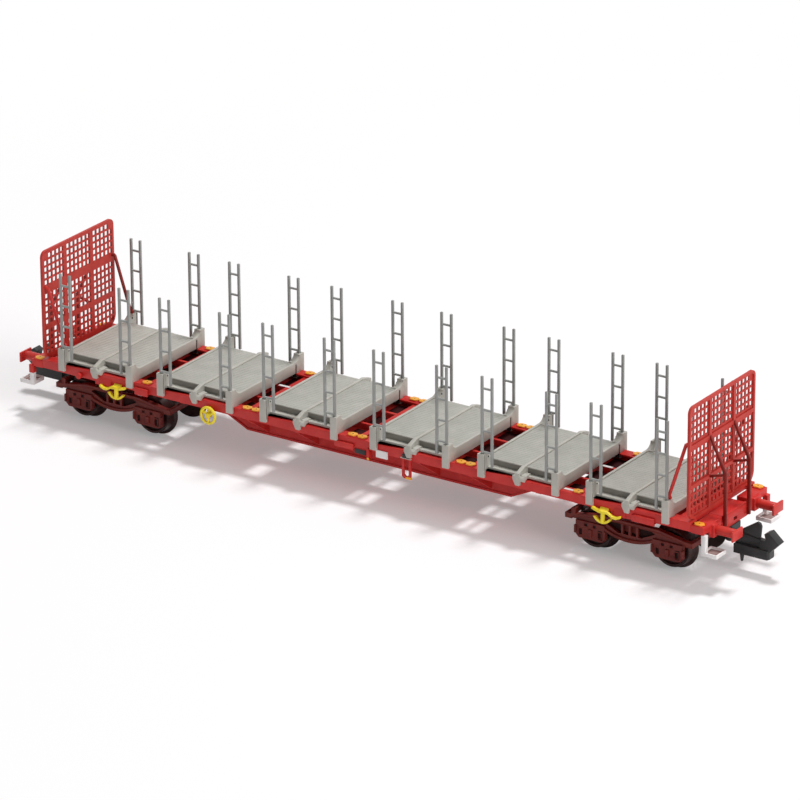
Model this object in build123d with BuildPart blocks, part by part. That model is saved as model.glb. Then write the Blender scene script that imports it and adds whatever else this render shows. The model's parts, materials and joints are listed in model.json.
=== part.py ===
from build123d import *
import os

os.makedirs("parts", exist_ok=True)

# Log carrier wagon, a 1:160 model on 9 mm gauge track wheels.
# Millimetres. X runs along the wagon, Y across it, Z up from the floor.
# The origin is on the floor, under the middle of the wagon.
# "Near" is the -Y side and "far" the +Y side. "Left" is -X and "right" +X.

# Wheels and axles
tread_radius = 2.875
flange_height = 0.6
flange_width = 0.5
flange_tip = 0.2
flange_root = 0.08
wheel_width = 1.8
back_to_back = 7.4
axle_radius = 0.75
journal_radius = 0.35
journal_clearance = 0.05
journal_end_gap = 0.1
hub_radius = 1.25
web_recess = 0.45

# Bogies
bogie_spacing = 88.75
wheelbase = 12.5
pivot_post_radius = 1.0
pivot_clearance = 0.05
side_frame_outer = 6.65
side_frame_plate = 0.45
side_frame_relief = 0.35
side_frame_top = 6.2
side_frame_tail = 9.3
tail_top = 5.4
tail_depth = 0.75
knee = 4.8
window_half = 4.15
window_floor = 4.1
window_top = 5.55
window_bar_spacing = 1.22
window_bar = 0.35
leaf_bottom = 3.15
leaf_half = 4.3
leaf_end_z = 4.2
axlebox_half = 2.45
axlebox_top = 4.7
axlebox_bottom = 2.0
bolster_half = 1.3
headstock_inner = 9.75
journal_cap = 0.2
headstock_width = 0.6

# Underframe
beam_face_x = 57.6
solebar_end_x = 55.6
girder_end_x = 55.0
solebar_outer = 8.65
solebar_top = 9.5
solebar_depth = 1.35
solebar_web = 0.45
solebar_flange = 1.7
flange_plate = 0.3
girder_spacing = 5.2
girder_web = 0.5
girder_flange = 0.9
girder_shallow_z = 7.5
girder_deep_z = 3.7
girder_deep_half = 22.75
girder_rise_run = 8.0
cross_beam_width = 0.9
cross_beam_depth = 1.3
pan_bottom = 8.0
pan_thickness = 0.25

# End deck and end beams
platform_half = 3.05
platform_top = 8.85
platform_bottom = 6.85
platform_wall = 0.3
channel_width = 0.6
corner_top = 9.15
corner_bottom = 8.05
corner_plate = 0.35

# Buffers
buffer_spacing = 11.0
buffer_z = 7.95
buffer_face_x = 61.3
buffer_head_width = 2.7
buffer_head_height = 1.55
buffer_head_thickness = 0.35
buffer_shank_radius = 0.68
buffer_base_size = 1.9
buffer_base_thickness = 0.4
buffer_base_slope = 0.5

# Load trays
deck_top = 11.0
deck_thickness = 0.9
deck_side_gap = 0.4
bolster_spacing = 12.27
bolster_width = 1.05
bolster_rise = 0.15
socket_outer = 9.16
socket_depth = 1.16
socket_top = 12.1
socket_bottom = 8.63
socket_leg = 0.85
slot_clearance = 0.06
ledge_outer = 8.75
ledge_top = 10.2
ledge_thickness = 0.5
flare_run = 1.3
flare_lip = 0.25
flare_sag = 0.25
bracket_outer = 9.2
bracket_bottom = 8.8
bracket_tip_z = 10.65
bracket_plate = 0.4
drum_radius = 0.42
drum_length = 0.7
arm_root = 0.6
ledge_root = 0.5
mid_rib_half = 0.3

# Stakes
stake_top = 23.76
stake_leg = 0.34
stake_leg_spacing = 1.65
stake_foot_gap = 0.16
stake_pocket_depth = 0.8
stake_pocket_clearance = 0.04
stake_pocket_wall = 0.3
rung_height = 0.26
rung_depth = 0.26
rung_first_drop = 1.8
rung_spacing = 3.19
rung_count = 4

# Bulkheads
bulkhead_x = 54.95
bulkhead_plate = 0.2
bulkhead_relief = 0.2
bulkhead_half_width = 8.75
bulkhead_top = 26.4
bulkhead_top_corner = 1.0
bulkhead_bottom_corner = 1.8
hole_width = 0.7
hole_height = 0.74
hole_pitch_y = 0.985
hole_pitch_z = 1.01
rim_width = 0.45
rib_width = 0.6

# Couplers
coupler_pivot_x = 57.0
coupler_pin_radius = 0.4
coupler_pin_clearance = 0.05

# Derived levels
axle_z = tread_radius + flange_height
bogie_x = bogie_spacing / 2
solebar_bottom = solebar_top - solebar_depth
girder_top = solebar_top - flange_plate
frame_inner = solebar_outer - solebar_web
side_frame_inner = side_frame_outer - side_frame_plate - side_frame_relief
deck_bottom = deck_top - deck_thickness
bolster_top = deck_top + bolster_rise
socket_inner = socket_outer - socket_depth
deck_half_width = socket_inner - deck_side_gap
wheel_outer = back_to_back / 2 + wheel_width
stake_y = socket_outer - stake_pocket_wall - stake_leg / 2
corner_inner = platform_half + channel_width

# name, middle along X
trays = (
    ("tray_1", -45.6),
    ("tray_2", -27.73),
    ("tray_3", -9.53),
    ("tray_4", 9.53),
    ("tray_5", 27.73),
    ("tray_6", 45.6),
)

# end name, direction along X
ends = (("left", -1), ("right", 1))

# side name, direction along Y
sides = (("near", -1), ("far", 1))


def block(x_span, y_span, z_span, mode=Mode.ADD):
    """Adds a block between two limits on each axis to the part in hand."""
    (x0, x1), (y0, y1), (z0, z1) = sorted(x_span), sorted(y_span), sorted(z_span)
    with Locations(((x0 + x1) / 2, (y0 + y1) / 2, (z0 + z1) / 2)):
        Box(x1 - x0, y1 - y0, z1 - z0, mode=mode)


def finish(builder, name, place=Location()):
    """Labels a finished piece, puts it in its place and writes it."""
    piece = builder.part.moved(place)
    piece.label = name
    export_step(piece, f"parts/{name}.step")


def finish_ends(builder, name):
    """Writes the right end's piece, and its twin turned about to the left end."""
    finish(builder, f"{name}_right")
    finish(builder, f"{name}_left", Location((0, 0, 0), (0, 0, 180)))


# Underframe: two fishbelly girders, cross beams, gussets, floor pans and end platforms
gusset_x = (10.45, 19.2)
gusset_half = 0.2
cross_beam_x = (0.0, 10.45, 19.2, 30.6, 37.0, 50.2)
bogie_pad_half = 1.9
end_floor_x = 52.6
end_floor_thickness = 0.45
girder_rise_x = girder_deep_half + girder_rise_run
lower_edge = (
    (-girder_end_x, girder_shallow_z),
    (-girder_rise_x, girder_shallow_z),
    (-girder_deep_half, girder_deep_z),
    (girder_deep_half, girder_deep_z),
    (girder_rise_x, girder_shallow_z),
    (girder_end_x, girder_shallow_z),
)
hook_hole = (0.9, 0.5)
hook_hole_z = 7.6

with BuildPart() as underframe:
    for side_name, side in sides:
        web_y = side * girder_spacing / 2
        with BuildSketch(Plane.XZ.offset(-web_y)):
            Polygon((-girder_end_x, girder_top), *lower_edge, (girder_end_x, girder_top), align=None)
        extrude(amount=girder_web / 2, both=True)
        with BuildSketch(Plane.XZ.offset(-web_y)):
            upper_edge = [(x, z + flange_plate) for x, z in reversed(lower_edge)]
            Polygon(*lower_edge, *upper_edge, align=None)
        extrude(amount=girder_flange / 2, both=True)
        block(
            (-end_floor_x, end_floor_x),
            (web_y, side * frame_inner),
            (pan_bottom, pan_bottom + pan_thickness),
        )
    for beam_x in cross_beam_x:
        for end_name, end in ends[: 2 if beam_x else 1]:
            x_mid = end * beam_x
            block(
                (x_mid - cross_beam_width / 2, x_mid + cross_beam_width / 2),
                (-frame_inner, frame_inner),
                (girder_top - cross_beam_depth, girder_top),
            )
    for beam_x in gusset_x:
        for end_name, end in ends:
            with BuildSketch(Plane.YZ.offset(end * beam_x)):
                for side_name, side in sides:
                    Polygon(
                        (side * girder_spacing / 2, girder_deep_z + flange_plate),
                        (side * frame_inner, girder_top - cross_beam_depth),
                        (side * girder_spacing / 2, girder_top - cross_beam_depth),
                        align=None,
                    )
            extrude(amount=gusset_half, both=True)
    for end_name, end in ends:
        block(
            (end * bogie_x - bogie_pad_half, end * bogie_x + bogie_pad_half),
            (-frame_inner, frame_inner),
            (girder_shallow_z, girder_top),
        )
        with Locations((end * bogie_x, 0, (girder_shallow_z + girder_top) / 2)):
            Cylinder(
                pivot_post_radius + pivot_clearance,
                2 * (girder_top - girder_shallow_z),
                mode=Mode.SUBTRACT,
            )
        block(
            (end * end_floor_x, end * girder_end_x),
            (-frame_inner, frame_inner),
            (girder_top - end_floor_thickness, girder_top),
        )
        with BuildSketch(Plane.YZ.offset(end * girder_end_x)):
            with Locations((0, (platform_top + platform_bottom) / 2)):
                Rectangle(2 * platform_half, platform_top - platform_bottom)
            with Locations((0, (platform_top + platform_bottom) / 2 - platform_wall)):
                Rectangle(
                    2 * (platform_half - platform_wall),
                    platform_top - platform_bottom,
                    mode=Mode.SUBTRACT,
                )
        extrude(amount=end * (beam_face_x - girder_end_x))
        with BuildSketch(Plane.YZ.offset(end * beam_face_x)):
            with Locations((0, (corner_bottom + platform_bottom) / 2)):
                Rectangle(2 * corner_inner, corner_bottom - platform_bottom)
            with Locations((0, (platform_top + platform_bottom) / 2)):
                Rectangle(2 * platform_half, platform_top - platform_bottom)
            with Locations((0, hook_hole_z)):
                Rectangle(*hook_hole, mode=Mode.SUBTRACT)
        extrude(amount=-end * corner_plate)
finish(underframe, "underframe")

# Solebars: channels, notched where the tray sockets pass through the top flange
solebar_flange_inner = solebar_outer - solebar_flange
notch_half = bolster_width / 2 + slot_clearance
for side_name, side in sides:
    with BuildPart() as solebar:
        with BuildSketch(Plane.YZ.offset(-solebar_end_x)):
            Polygon(
                (side * solebar_outer, solebar_bottom),
                (side * solebar_outer, solebar_top),
                (side * solebar_flange_inner, solebar_top),
                (side * solebar_flange_inner, girder_top),
                (side * frame_inner, girder_top),
                (side * frame_inner, solebar_bottom),
                align=None,
            )
        extrude(amount=2 * solebar_end_x)
        for tray_name, tray_x in trays:
            for direction in (-1, 1):
                x_mid = tray_x + direction * bolster_spacing / 2
                block(
                    (x_mid - notch_half, x_mid + notch_half),
                    (side * frame_inner, side * solebar_flange_inner),
                    (girder_top, solebar_top),
                    mode=Mode.SUBTRACT,
                )
    finish(solebar, f"solebar_{side_name}")

# End beams: a hollow corner platform each side, deeper where the buffer base stands
buffer_y = buffer_spacing / 2
base_half = buffer_base_size / 2
with BuildPart() as end_beam:
    for side_name, side in sides:
        corner_y = (side * corner_inner, side * solebar_outer)
        block((solebar_end_x, beam_face_x), corner_y, (corner_bottom, corner_top))
        block(
            (solebar_end_x, beam_face_x - corner_plate),
            (side * (corner_inner + corner_plate), side * (solebar_outer - corner_plate)),
            (corner_bottom, corner_top - corner_plate),
            mode=Mode.SUBTRACT,
        )
        with BuildSketch(Plane.YZ.offset(beam_face_x)):
            Polygon(
                (side * corner_inner, corner_bottom),
                (side * (buffer_y - base_half), buffer_z - base_half),
                (side * (buffer_y + base_half), buffer_z - base_half),
                (side * (buffer_y + base_half + buffer_base_slope), corner_bottom),
                align=None,
            )
        extrude(amount=-corner_plate)
        block(
            (beam_face_x, beam_face_x + buffer_base_thickness),
            (side * (buffer_y - base_half), side * (buffer_y + base_half)),
            (buffer_z - base_half, buffer_z + base_half),
        )
finish_ends(end_beam, "end_beam")

# Buffers: a round shank with a flat rectangular head
with BuildPart() as buffers:
    shank_start = beam_face_x + buffer_base_thickness
    head_back = buffer_face_x - buffer_head_thickness
    with BuildSketch(Plane.YZ.offset(shank_start)):
        with Locations((-buffer_y, buffer_z), (buffer_y, buffer_z)):
            Circle(buffer_shank_radius)
    extrude(amount=head_back - shank_start)
    with BuildSketch(Plane.YZ.offset(head_back)):
        with Locations((-buffer_y, buffer_z), (buffer_y, buffer_z)):
            Rectangle(buffer_head_width, buffer_head_height)
    extrude(amount=buffer_head_thickness)
finish_ends(buffers, "buffers")

# Shunter's steps: a rimmed tread plate hung on one strap under each corner
step_outer = 8.7
step_width = 2.6
step_bottom = 5.0
step_plate = 0.25
step_rim = 0.2
step_rim_height = 0.35
strap_length = 0.7
step_behind_face = 0.3
step_reach = 2.2
tread_x = (beam_face_x - step_behind_face, beam_face_x + step_reach)
with BuildPart() as steps:
    for side_name, side in sides:
        tread_y = (side * step_outer, side * (step_outer - step_width))
        block(tread_x, tread_y, (step_bottom, step_bottom + step_plate + step_rim_height))
        block(
            (tread_x[0] + step_rim, tread_x[1] - step_rim),
            (side * (step_outer - step_rim), side * (step_outer - step_width + step_rim)),
            (step_bottom + step_plate, step_bottom + step_plate + step_rim_height),
            mode=Mode.SUBTRACT,
        )
        block(
            (tread_x[0], tread_x[0] + strap_length),
            (side * step_outer, side * (step_outer - strap_length)),
            (step_bottom, corner_bottom),
        )
finish_ends(steps, "steps")

# Load trays: plank deck, end bolsters with stake sockets, mid rib with brackets, side ledges
socket_slot_inner = frame_inner - slot_clearance
socket_slot_outer = solebar_outer + slot_clearance
leg_inner = socket_slot_inner - socket_leg
deck_half_length = (bolster_spacing - bolster_width) / 2
flare_start_z = socket_top - flare_lip
pocket_half = stake_leg / 2 + stake_pocket_clearance
arm_elbow = 0.2
drum_facets = 8
# front plate of the mid bracket: x, z
plate_outline = (
    (-0.8, ledge_top),
    (0.45, ledge_top),
    (0.3, bracket_bottom),
    (-0.35, bracket_bottom),
    (-0.8, ledge_top - ledge_thickness),
)
with BuildPart() as tray:
    block(
        (-deck_half_length, deck_half_length), (-deck_half_width, deck_half_width), (deck_bottom, deck_top)
    )
    for direction in (-1, 1):
        socket_x = direction * bolster_spacing / 2
        with BuildSketch(Plane.YZ.offset(socket_x)):
            for side_name, side in sides:
                with BuildLine():
                    Polyline(
                        (0, bolster_top),
                        (0, solebar_top),
                        (side * leg_inner, solebar_top),
                        (side * leg_inner, socket_bottom),
                        (side * socket_slot_inner, socket_bottom),
                        (side * socket_slot_inner, solebar_top),
                        (side * socket_slot_outer, solebar_top),
                        (side * socket_slot_outer, socket_bottom),
                        (side * socket_outer, socket_bottom),
                        (side * socket_outer, socket_top),
                        (side * socket_inner, socket_top),
                        (side * socket_inner, flare_start_z),
                    )
                    ThreePointArc(
                        (side * socket_inner, flare_start_z),
                        (side * (socket_inner - flare_run / 3), bolster_top + flare_sag),
                        (side * (socket_inner - flare_run), bolster_top),
                    )
                    Line((side * (socket_inner - flare_run), bolster_top), (0, bolster_top))
                make_face()
        extrude(amount=bolster_width / 2, both=True)
        for side_name, side in sides:
            block(
                (socket_x - pocket_half, socket_x + pocket_half),
                (side * stake_y - pocket_half, side * stake_y + pocket_half),
                (socket_top - stake_pocket_depth, socket_top),
                mode=Mode.SUBTRACT,
            )
    block((-mid_rib_half, mid_rib_half), (-deck_half_width, deck_half_width), (deck_top, bolster_top))
    for side_name, side in sides:
        block(
            (-deck_half_length, deck_half_length),
            (side * (deck_half_width - ledge_root), side * ledge_outer),
            (ledge_top - ledge_thickness, ledge_top),
        )
        with BuildSketch(Plane.YZ):
            Polygon(
                (side * (deck_half_width - arm_root), bolster_top),
                (side * (deck_half_width - arm_root), deck_bottom),
                (side * (deck_half_width + arm_elbow), ledge_top - ledge_thickness),
                (side * socket_slot_outer, solebar_top + slot_clearance),
                (side * socket_slot_outer, bracket_bottom),
                (side * bracket_outer, bracket_bottom),
                (side * bracket_outer, bracket_tip_z),
                (side * deck_half_width, bolster_top),
                align=None,
            )
        extrude(amount=mid_rib_half, both=True)
        with BuildSketch(Plane.XZ.offset(-side * bracket_outer)):
            Polygon(*plate_outline, align=None)
        extrude(amount=side * bracket_plate)
        with BuildSketch(Plane.YZ.offset(mid_rib_half)):
            with Locations((side * (bracket_outer - drum_radius), ledge_top - drum_radius)):
                RegularPolygon(drum_radius, drum_facets, rotation=180 / drum_facets)
        extrude(amount=drum_length)
for tray_name, tray_x in trays:
    finish(tray, tray_name, Location((tray_x, 0, 0)))

# Ladder stakes: one leg stands in the socket, the other hangs free on the inner side
with BuildPart() as stakes:
    for direction in (-1, 1):
        socket_x = direction * bolster_spacing / 2
        free_x = socket_x - direction * stake_leg_spacing
        leg_feet = ((socket_x, socket_top - stake_pocket_depth), (free_x, ledge_top + stake_foot_gap))
        for side_name, side in sides:
            y_mid = side * stake_y
            for leg_x, foot_z in leg_feet:
                block(
                    (leg_x - stake_leg / 2, leg_x + stake_leg / 2),
                    (y_mid - stake_leg / 2, y_mid + stake_leg / 2),
                    (foot_z, stake_top),
                )
            for rung in range(rung_count):
                rung_z = stake_top - rung_first_drop - rung * rung_spacing
                block(
                    (socket_x, free_x),
                    (y_mid - rung_depth / 2, y_mid + rung_depth / 2),
                    (rung_z - rung_height / 2, rung_z + rung_height / 2),
                )
for index, (tray_name, tray_x) in enumerate(trays):
    finish(stakes, f"stakes_{index + 1}", Location((tray_x, 0, 0)))

# Bulkheads: plates with a grid of square holes, and a raised rim and ribs on the outer face
# middle of the group across the plate, holes
column_groups = ((-5.93, 5), (0.0, 6), (5.93, 5))
# height of the group's top row, rows
row_groups = ((25.48, 5), (19.32, 5), (13.71, 4))
columns = [
    middle + hole_pitch_y * (index - (count - 1) / 2)
    for middle, count in column_groups
    for index in range(count)
]
rows = [top - hole_pitch_z * index for top, count in row_groups for index in range(count)]
hole_places = [
    (y, z)
    for z in rows
    for y in columns
    if not (z == rows[0] and y in (columns[0], columns[-1]))
]
rib_y = (columns[4] + columns[5]) / 2
rib_z = ((rows[4] + rows[5]) / 2, (rows[9] + rows[10]) / 2)
bulkhead_bottom = solebar_top
bulkhead_height = bulkhead_top - bulkhead_bottom
bulkhead_middle = (bulkhead_top + bulkhead_bottom) / 2
plate_face_x = bulkhead_x + bulkhead_plate
rim_face_x = plate_face_x + bulkhead_relief

with BuildPart() as bulkhead:
    with BuildSketch(Plane.YZ.offset(bulkhead_x)) as plate_outline:
        with Locations((0, bulkhead_middle)):
            Rectangle(2 * bulkhead_half_width, bulkhead_height)
        fillet(plate_outline.vertices().group_by(Axis.Y)[-1], bulkhead_top_corner)
        fillet(plate_outline.vertices().group_by(Axis.Y)[0], bulkhead_bottom_corner)
        with Locations(*hole_places):
            Rectangle(hole_width, hole_height, mode=Mode.SUBTRACT)
    extrude(amount=bulkhead_plate)
    with BuildSketch(Plane.YZ.offset(plate_face_x)) as rim_outline:
        with Locations((0, bulkhead_middle)):
            Rectangle(2 * bulkhead_half_width, bulkhead_height)
        fillet(rim_outline.vertices().group_by(Axis.Y)[-1], bulkhead_top_corner)
        fillet(rim_outline.vertices().group_by(Axis.Y)[0], bulkhead_bottom_corner)
        offset(amount=-rim_width, mode=Mode.SUBTRACT)
        with Locations((-rib_y, bulkhead_middle), (rib_y, bulkhead_middle)):
            Rectangle(rib_width, bulkhead_height - rim_width)
        with Locations((0, rib_z[0]), (0, rib_z[1])):
            Rectangle(2 * bulkhead_half_width - rim_width, rib_width)
    extrude(amount=bulkhead_relief)
finish_ends(bulkhead, "bulkhead")

# Outer props: a post on the end beam, a diagonal to the upper rib and a brace to the lower
prop_width = 0.42
prop_depth = 0.5
prop_foot_z = 7.1
prop_bend_z = 15.4
prop_face_x = beam_face_x + prop_depth
brace_height = 0.35
brace_inset = 0.25
# height of the post's top at the rib, above and below the rib's middle
prop_head = (0.3, -0.35)
with BuildPart() as props:
    for side_name, side in sides:
        with BuildSketch(Plane.XZ.offset(-side * rib_y)):
            Polygon(
                (beam_face_x, prop_foot_z),
                (prop_face_x, prop_foot_z),
                (prop_face_x, prop_bend_z),
                (rim_face_x, rib_z[0] + prop_head[0]),
                (rim_face_x, rib_z[0] + prop_head[1]),
                (beam_face_x, prop_bend_z - brace_height / 2),
                align=None,
            )
            Polygon(
                (rim_face_x, rib_z[1] + brace_height / 2),
                (beam_face_x + brace_inset, prop_bend_z),
                (beam_face_x + brace_inset, prop_bend_z - brace_height),
                (rim_face_x, rib_z[1] - brace_height / 2),
                align=None,
            )
        extrude(amount=prop_width / 2, both=True)
finish_ends(props, "bulkhead_props")

# Side stays from the bulkhead edges down to pads on the end sockets
stay_foot_x = trays[-1][1] + bolster_spacing / 2
stay_thickness = 0.4
stay_pad_radius = 0.42
stay_pad_rise = 0.15
stay_pad_z = socket_top + stay_pad_rise
stay_top = 21.0
stay_level = 0.6
stay_width = 0.7
with BuildPart() as stays:
    for side_name, side in sides:
        with BuildSketch(Plane.XZ.offset(-side * socket_inner)):
            Polygon(
                (bulkhead_x, stay_top),
                (bulkhead_x - stay_level, stay_top),
                (stay_foot_x - stay_width / 2, stay_pad_z),
                (stay_foot_x + stay_width / 2, stay_pad_z),
                (bulkhead_x, stay_top - stay_width),
                align=None,
            )
            with Locations((stay_foot_x, stay_pad_z)):
                Circle(stay_pad_radius)
        extrude(amount=side * stay_thickness)
finish_ends(stays, "bulkhead_stays")

# Handwheels on brackets below the solebars
handwheel_x = 25.3
handwheel_z = 7.5
handwheel_radius = 1.42
handwheel_rim = 0.3
handwheel_thickness = 0.3
handwheel_stem = 0.6
handwheel_standoff = 0.35
handwheel_y = solebar_outer + handwheel_standoff
handwheel_hub = 0.42
spoke_width = 0.28
spoke_count = 3
spoke_start = 30
spoke_overlap = 0.1
with BuildPart() as handwheels:
    for side_name, side in sides:
        wheel_x = side * handwheel_x
        block(
            (wheel_x - handwheel_stem / 2, wheel_x + handwheel_stem / 2),
            (side * solebar_outer, side * handwheel_y),
            (handwheel_z - handwheel_stem / 2, solebar_bottom + handwheel_stem),
        )
        with BuildSketch(Plane.XZ.offset(-side * handwheel_y)):
            with Locations((wheel_x, handwheel_z)):
                Circle(handwheel_radius)
                Circle(handwheel_radius - handwheel_rim, mode=Mode.SUBTRACT)
                RegularPolygon(handwheel_hub, 8)
                with PolarLocations(handwheel_radius / 2, spoke_count, spoke_start):
                    Rectangle(handwheel_radius - spoke_overlap, spoke_width)
        extrude(amount=-side * handwheel_thickness)
finish(handwheels, "handwheels")

# Brake changeover levers: sloping tab, wavy cross handle, stem and a curved cup below
lever_x = 41.75
lever_reach = 0.5
lever_y = solebar_outer + lever_reach
lever_stem = 0.34
tab_width = 1.3
tab_root = (8.05, 8.6)
handle_back = 0.2
handle_thickness = 0.45
handle_height = 0.34
cup_half = 1.45
cup_wall = 0.35
cup_bottom = 6.4
cup_top = 7.3
# middle line of the handle: distance from the stem towards the wagon's end, height
handle_line = ((-1.7, 8.45), (-0.6, 8.1), (0.8, 8.12), (1.6, 7.68), (2.2, 7.65), (2.9, 7.95))
with BuildPart() as levers:
    for side_name, side in sides:
        for end_name, end in ends:
            stem_x = end * lever_x
            with BuildSketch(Plane.XY.offset(cup_bottom + cup_wall / 2)):
                with Locations((stem_x, side * lever_y)):
                    RegularPolygon(lever_stem, 6)
            extrude(amount=tab_root[0] - cup_bottom)
            with BuildSketch(Plane.XZ.offset(-side * (lever_y - handle_back))):
                Polygon(
                    *[(stem_x + end * x, z + handle_height / 2) for x, z in handle_line],
                    *[(stem_x + end * x, z - handle_height / 2) for x, z in reversed(handle_line)],
                    align=None,
                )
                with BuildLine():
                    ThreePointArc(
                        (stem_x - cup_half, cup_top), (stem_x, cup_bottom), (stem_x + cup_half, cup_top)
                    )
                    Line((stem_x + cup_half, cup_top), (stem_x + cup_half - cup_wall, cup_top))
                    ThreePointArc(
                        (stem_x + cup_half - cup_wall, cup_top),
                        (stem_x, cup_bottom + cup_wall),
                        (stem_x - cup_half + cup_wall, cup_top),
                    )
                    Line((stem_x - cup_half + cup_wall, cup_top), (stem_x - cup_half, cup_top))
                make_face()
            extrude(amount=-side * handle_thickness)
            with BuildSketch(Plane.YZ.offset(stem_x)):
                Polygon(
                    (side * solebar_outer, tab_root[0]),
                    (side * solebar_outer, tab_root[1]),
                    (side * lever_y, tab_root[0] + handle_height / 2),
                    (side * lever_y, tab_root[0] - handle_height / 2),
                    align=None,
                )
            extrude(amount=tab_width / 2, both=True)
finish(levers, "brake_levers")

# Container locating pads on the solebars and the end corners
pad_length = 1.3
pad_width = 0.9
pad_height = 0.28
pad_inset = 0.75
pad_y = solebar_outer - pad_inset
pad_nose = 0.3
pad_flat = 0.7
# distance from the middle along X, level it stands on
pad_places = (
    (56.55, corner_top),
    (37.0, solebar_top),
    (19.15, solebar_top),
    (17.6, solebar_top),
    (0.8, solebar_top),
)
with BuildPart() as pads:
    for x, level in pad_places:
        with BuildSketch(Plane.XY.offset(level)):
            for end_name, end in ends:
                for side_name, side in sides:
                    with Locations((end * x, side * pad_y)):
                        Polygon(
                            (-pad_length / 2, -pad_nose / 2),
                            (-pad_flat / 2, -pad_width / 2),
                            (pad_flat / 2, -pad_width / 2),
                            (pad_length / 2, -pad_nose / 2),
                            (pad_length / 2, pad_nose / 2),
                            (pad_flat / 2, pad_width / 2),
                            (-pad_flat / 2, pad_width / 2),
                            (-pad_length / 2, pad_nose / 2),
                        )
        extrude(amount=pad_height)
finish(pads, "container_pads")

# Blank boards on the solebars, and blank marking plates on the frame
board_x = (3.7, 5.65)
board_z = (7.5, 8.6)
board_thickness = 0.15
plate_length = 1.9
plate_width = 0.48
plate_thickness = 0.06
# x, y and level of the marking plate's middle
marking_plates = (
    (35.6, -7.8, solebar_top),
    (35.1, girder_spacing / 2, girder_top),
    (-20.0, girder_spacing / 2, girder_top),
)
with BuildPart() as boards:
    for side_name, side in sides:
        block(
            (-side * board_x[0], -side * board_x[1]),
            (side * solebar_outer, side * (solebar_outer + board_thickness)),
            board_z,
        )
    for x, y, level in marking_plates:
        block(
            (x - plate_length / 2, x + plate_length / 2),
            (y - plate_width / 2, y + plate_width / 2),
            (level, level + plate_thickness),
        )
finish(boards, "side_boards")

# Equipment cases: plain boxes on the solebars
# side, x span, projection, z span
case_places = (
    (-1, (-3.35, -0.1), 0.35, (7.7, 8.58)),
    (1, (3.35, 0.1), 0.35, (7.7, 8.58)),
    (-1, (-38.6, -36.3), 0.35, (7.8, 8.9)),
    (1, (38.6, 36.3), 0.35, (7.8, 8.9)),
    (-1, (46.3, 49.9), 0.4, (7.75, 8.75)),
    (1, (-46.3, -49.9), 0.4, (7.75, 8.75)),
)
with BuildPart() as cases:
    for side, x_span, projection, z_span in case_places:
        block(x_span, (side * solebar_outer, side * (solebar_outer + projection)), z_span)
finish(cases, "equipment_cases")

# Brackets: U hangers, hooks, sloping guards and a round stub on each solebar
hanger_x = 8.95
hanger_width = 1.5
hanger_span = (5.4, 8.7)
hanger_bar = 0.35
hanger_corner = 0.3
hanger_thickness = 0.28
hook_x = 2.4
hook_size = (0.4, 0.3)
hook_bottom = 6.85
stub_x = 48.7
stub_z = 8.46
stub_radius = 0.45
stub_length = 0.5
guard_top = 9.05
guard_bottom = 7.8
guard_edge = 0.25
guard_reach = 0.25
# x span on the near side
guard_spans = ((-45.1, -43.0), (43.4, 45.2))
with BuildPart() as brackets:
    for side_name, side in sides:
        hanger_middle = -side * hanger_x
        with BuildSketch(Plane.XZ.offset(-side * solebar_outer)):
            for half, bottom, mode in (
                (hanger_width / 2, hanger_span[0], Mode.ADD),
                (hanger_width / 2 - hanger_bar, hanger_span[0] + hanger_bar, Mode.SUBTRACT),
            ):
                Polygon(
                    (hanger_middle - half, hanger_span[1]),
                    (hanger_middle - half, bottom + hanger_corner),
                    (hanger_middle - half + hanger_corner, bottom),
                    (hanger_middle + half - hanger_corner, bottom),
                    (hanger_middle + half, bottom + hanger_corner),
                    (hanger_middle + half, hanger_span[1]),
                    align=None,
                    mode=mode,
                )
        extrude(amount=-side * hanger_thickness)
        hook_span = (-side * hook_x - hook_size[0] / 2, -side * hook_x + hook_size[0] / 2)
        hook_front = side * (solebar_outer + hook_size[1])
        block(hook_span, (side * frame_inner, hook_front), (hook_bottom, solebar_bottom))
        block(hook_span, (side * solebar_outer, hook_front), (solebar_bottom, solebar_bottom + hook_size[1]))
        with Locations((side * stub_x, side * (solebar_outer + stub_length / 2), stub_z)):
            Cylinder(stub_radius, stub_length, rotation=(90, 0, 0))
        for guard_span in guard_spans:
            with BuildSketch(Plane.YZ.offset(-side * guard_span[0])):
                Polygon(
                    (side * solebar_outer, guard_top),
                    (side * (solebar_outer + guard_reach), guard_bottom + guard_edge),
                    (side * (solebar_outer + guard_reach), guard_bottom),
                    (side * solebar_outer, solebar_bottom),
                    align=None,
                )
            extrude(amount=-side * (guard_span[1] - guard_span[0]))
finish(brackets, "tether_brackets")

# Bogies: cast side frames with a lens window, leaf, axleboxes, bolster and headstocks
chord_depth = 0.5
leaf_depth = 0.45
spring_window = (0.5, 0.9)
spring_window_x = 1.53
spring_window_z = 3.05
lid_window = (0.5, 0.4)
lid_window_x = 0.7
lid_window_z = 4.2
axlebox_shoulder = 0.5
axlebox_corner = 0.5
axlebox_step = 0.1
bolster_span = (4.4, 6.0)
pivot_pad_radius = 1.7
pivot_pad_facets = 12
pivot_gap = 0.05
pivot_post_drop = 0.2
lug_height = 0.9
lug_length = 0.7
lug_root = 0.3
window_flat = 1.9
window_tip_z = 5.2
window_shoulder = 3.55
frame_lap = 0.05
tail_bottom = tail_top - tail_depth
window_outline = (
    (-window_flat, window_floor),
    (window_flat, window_floor),
    (window_half, window_tip_z),
    (window_shoulder, window_top),
    (-window_shoulder, window_top),
    (-window_half, window_tip_z),
)
top_edge = (
    (-side_frame_tail, tail_top),
    (-knee, side_frame_top),
    (knee, side_frame_top),
    (side_frame_tail, tail_top),
)


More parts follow.
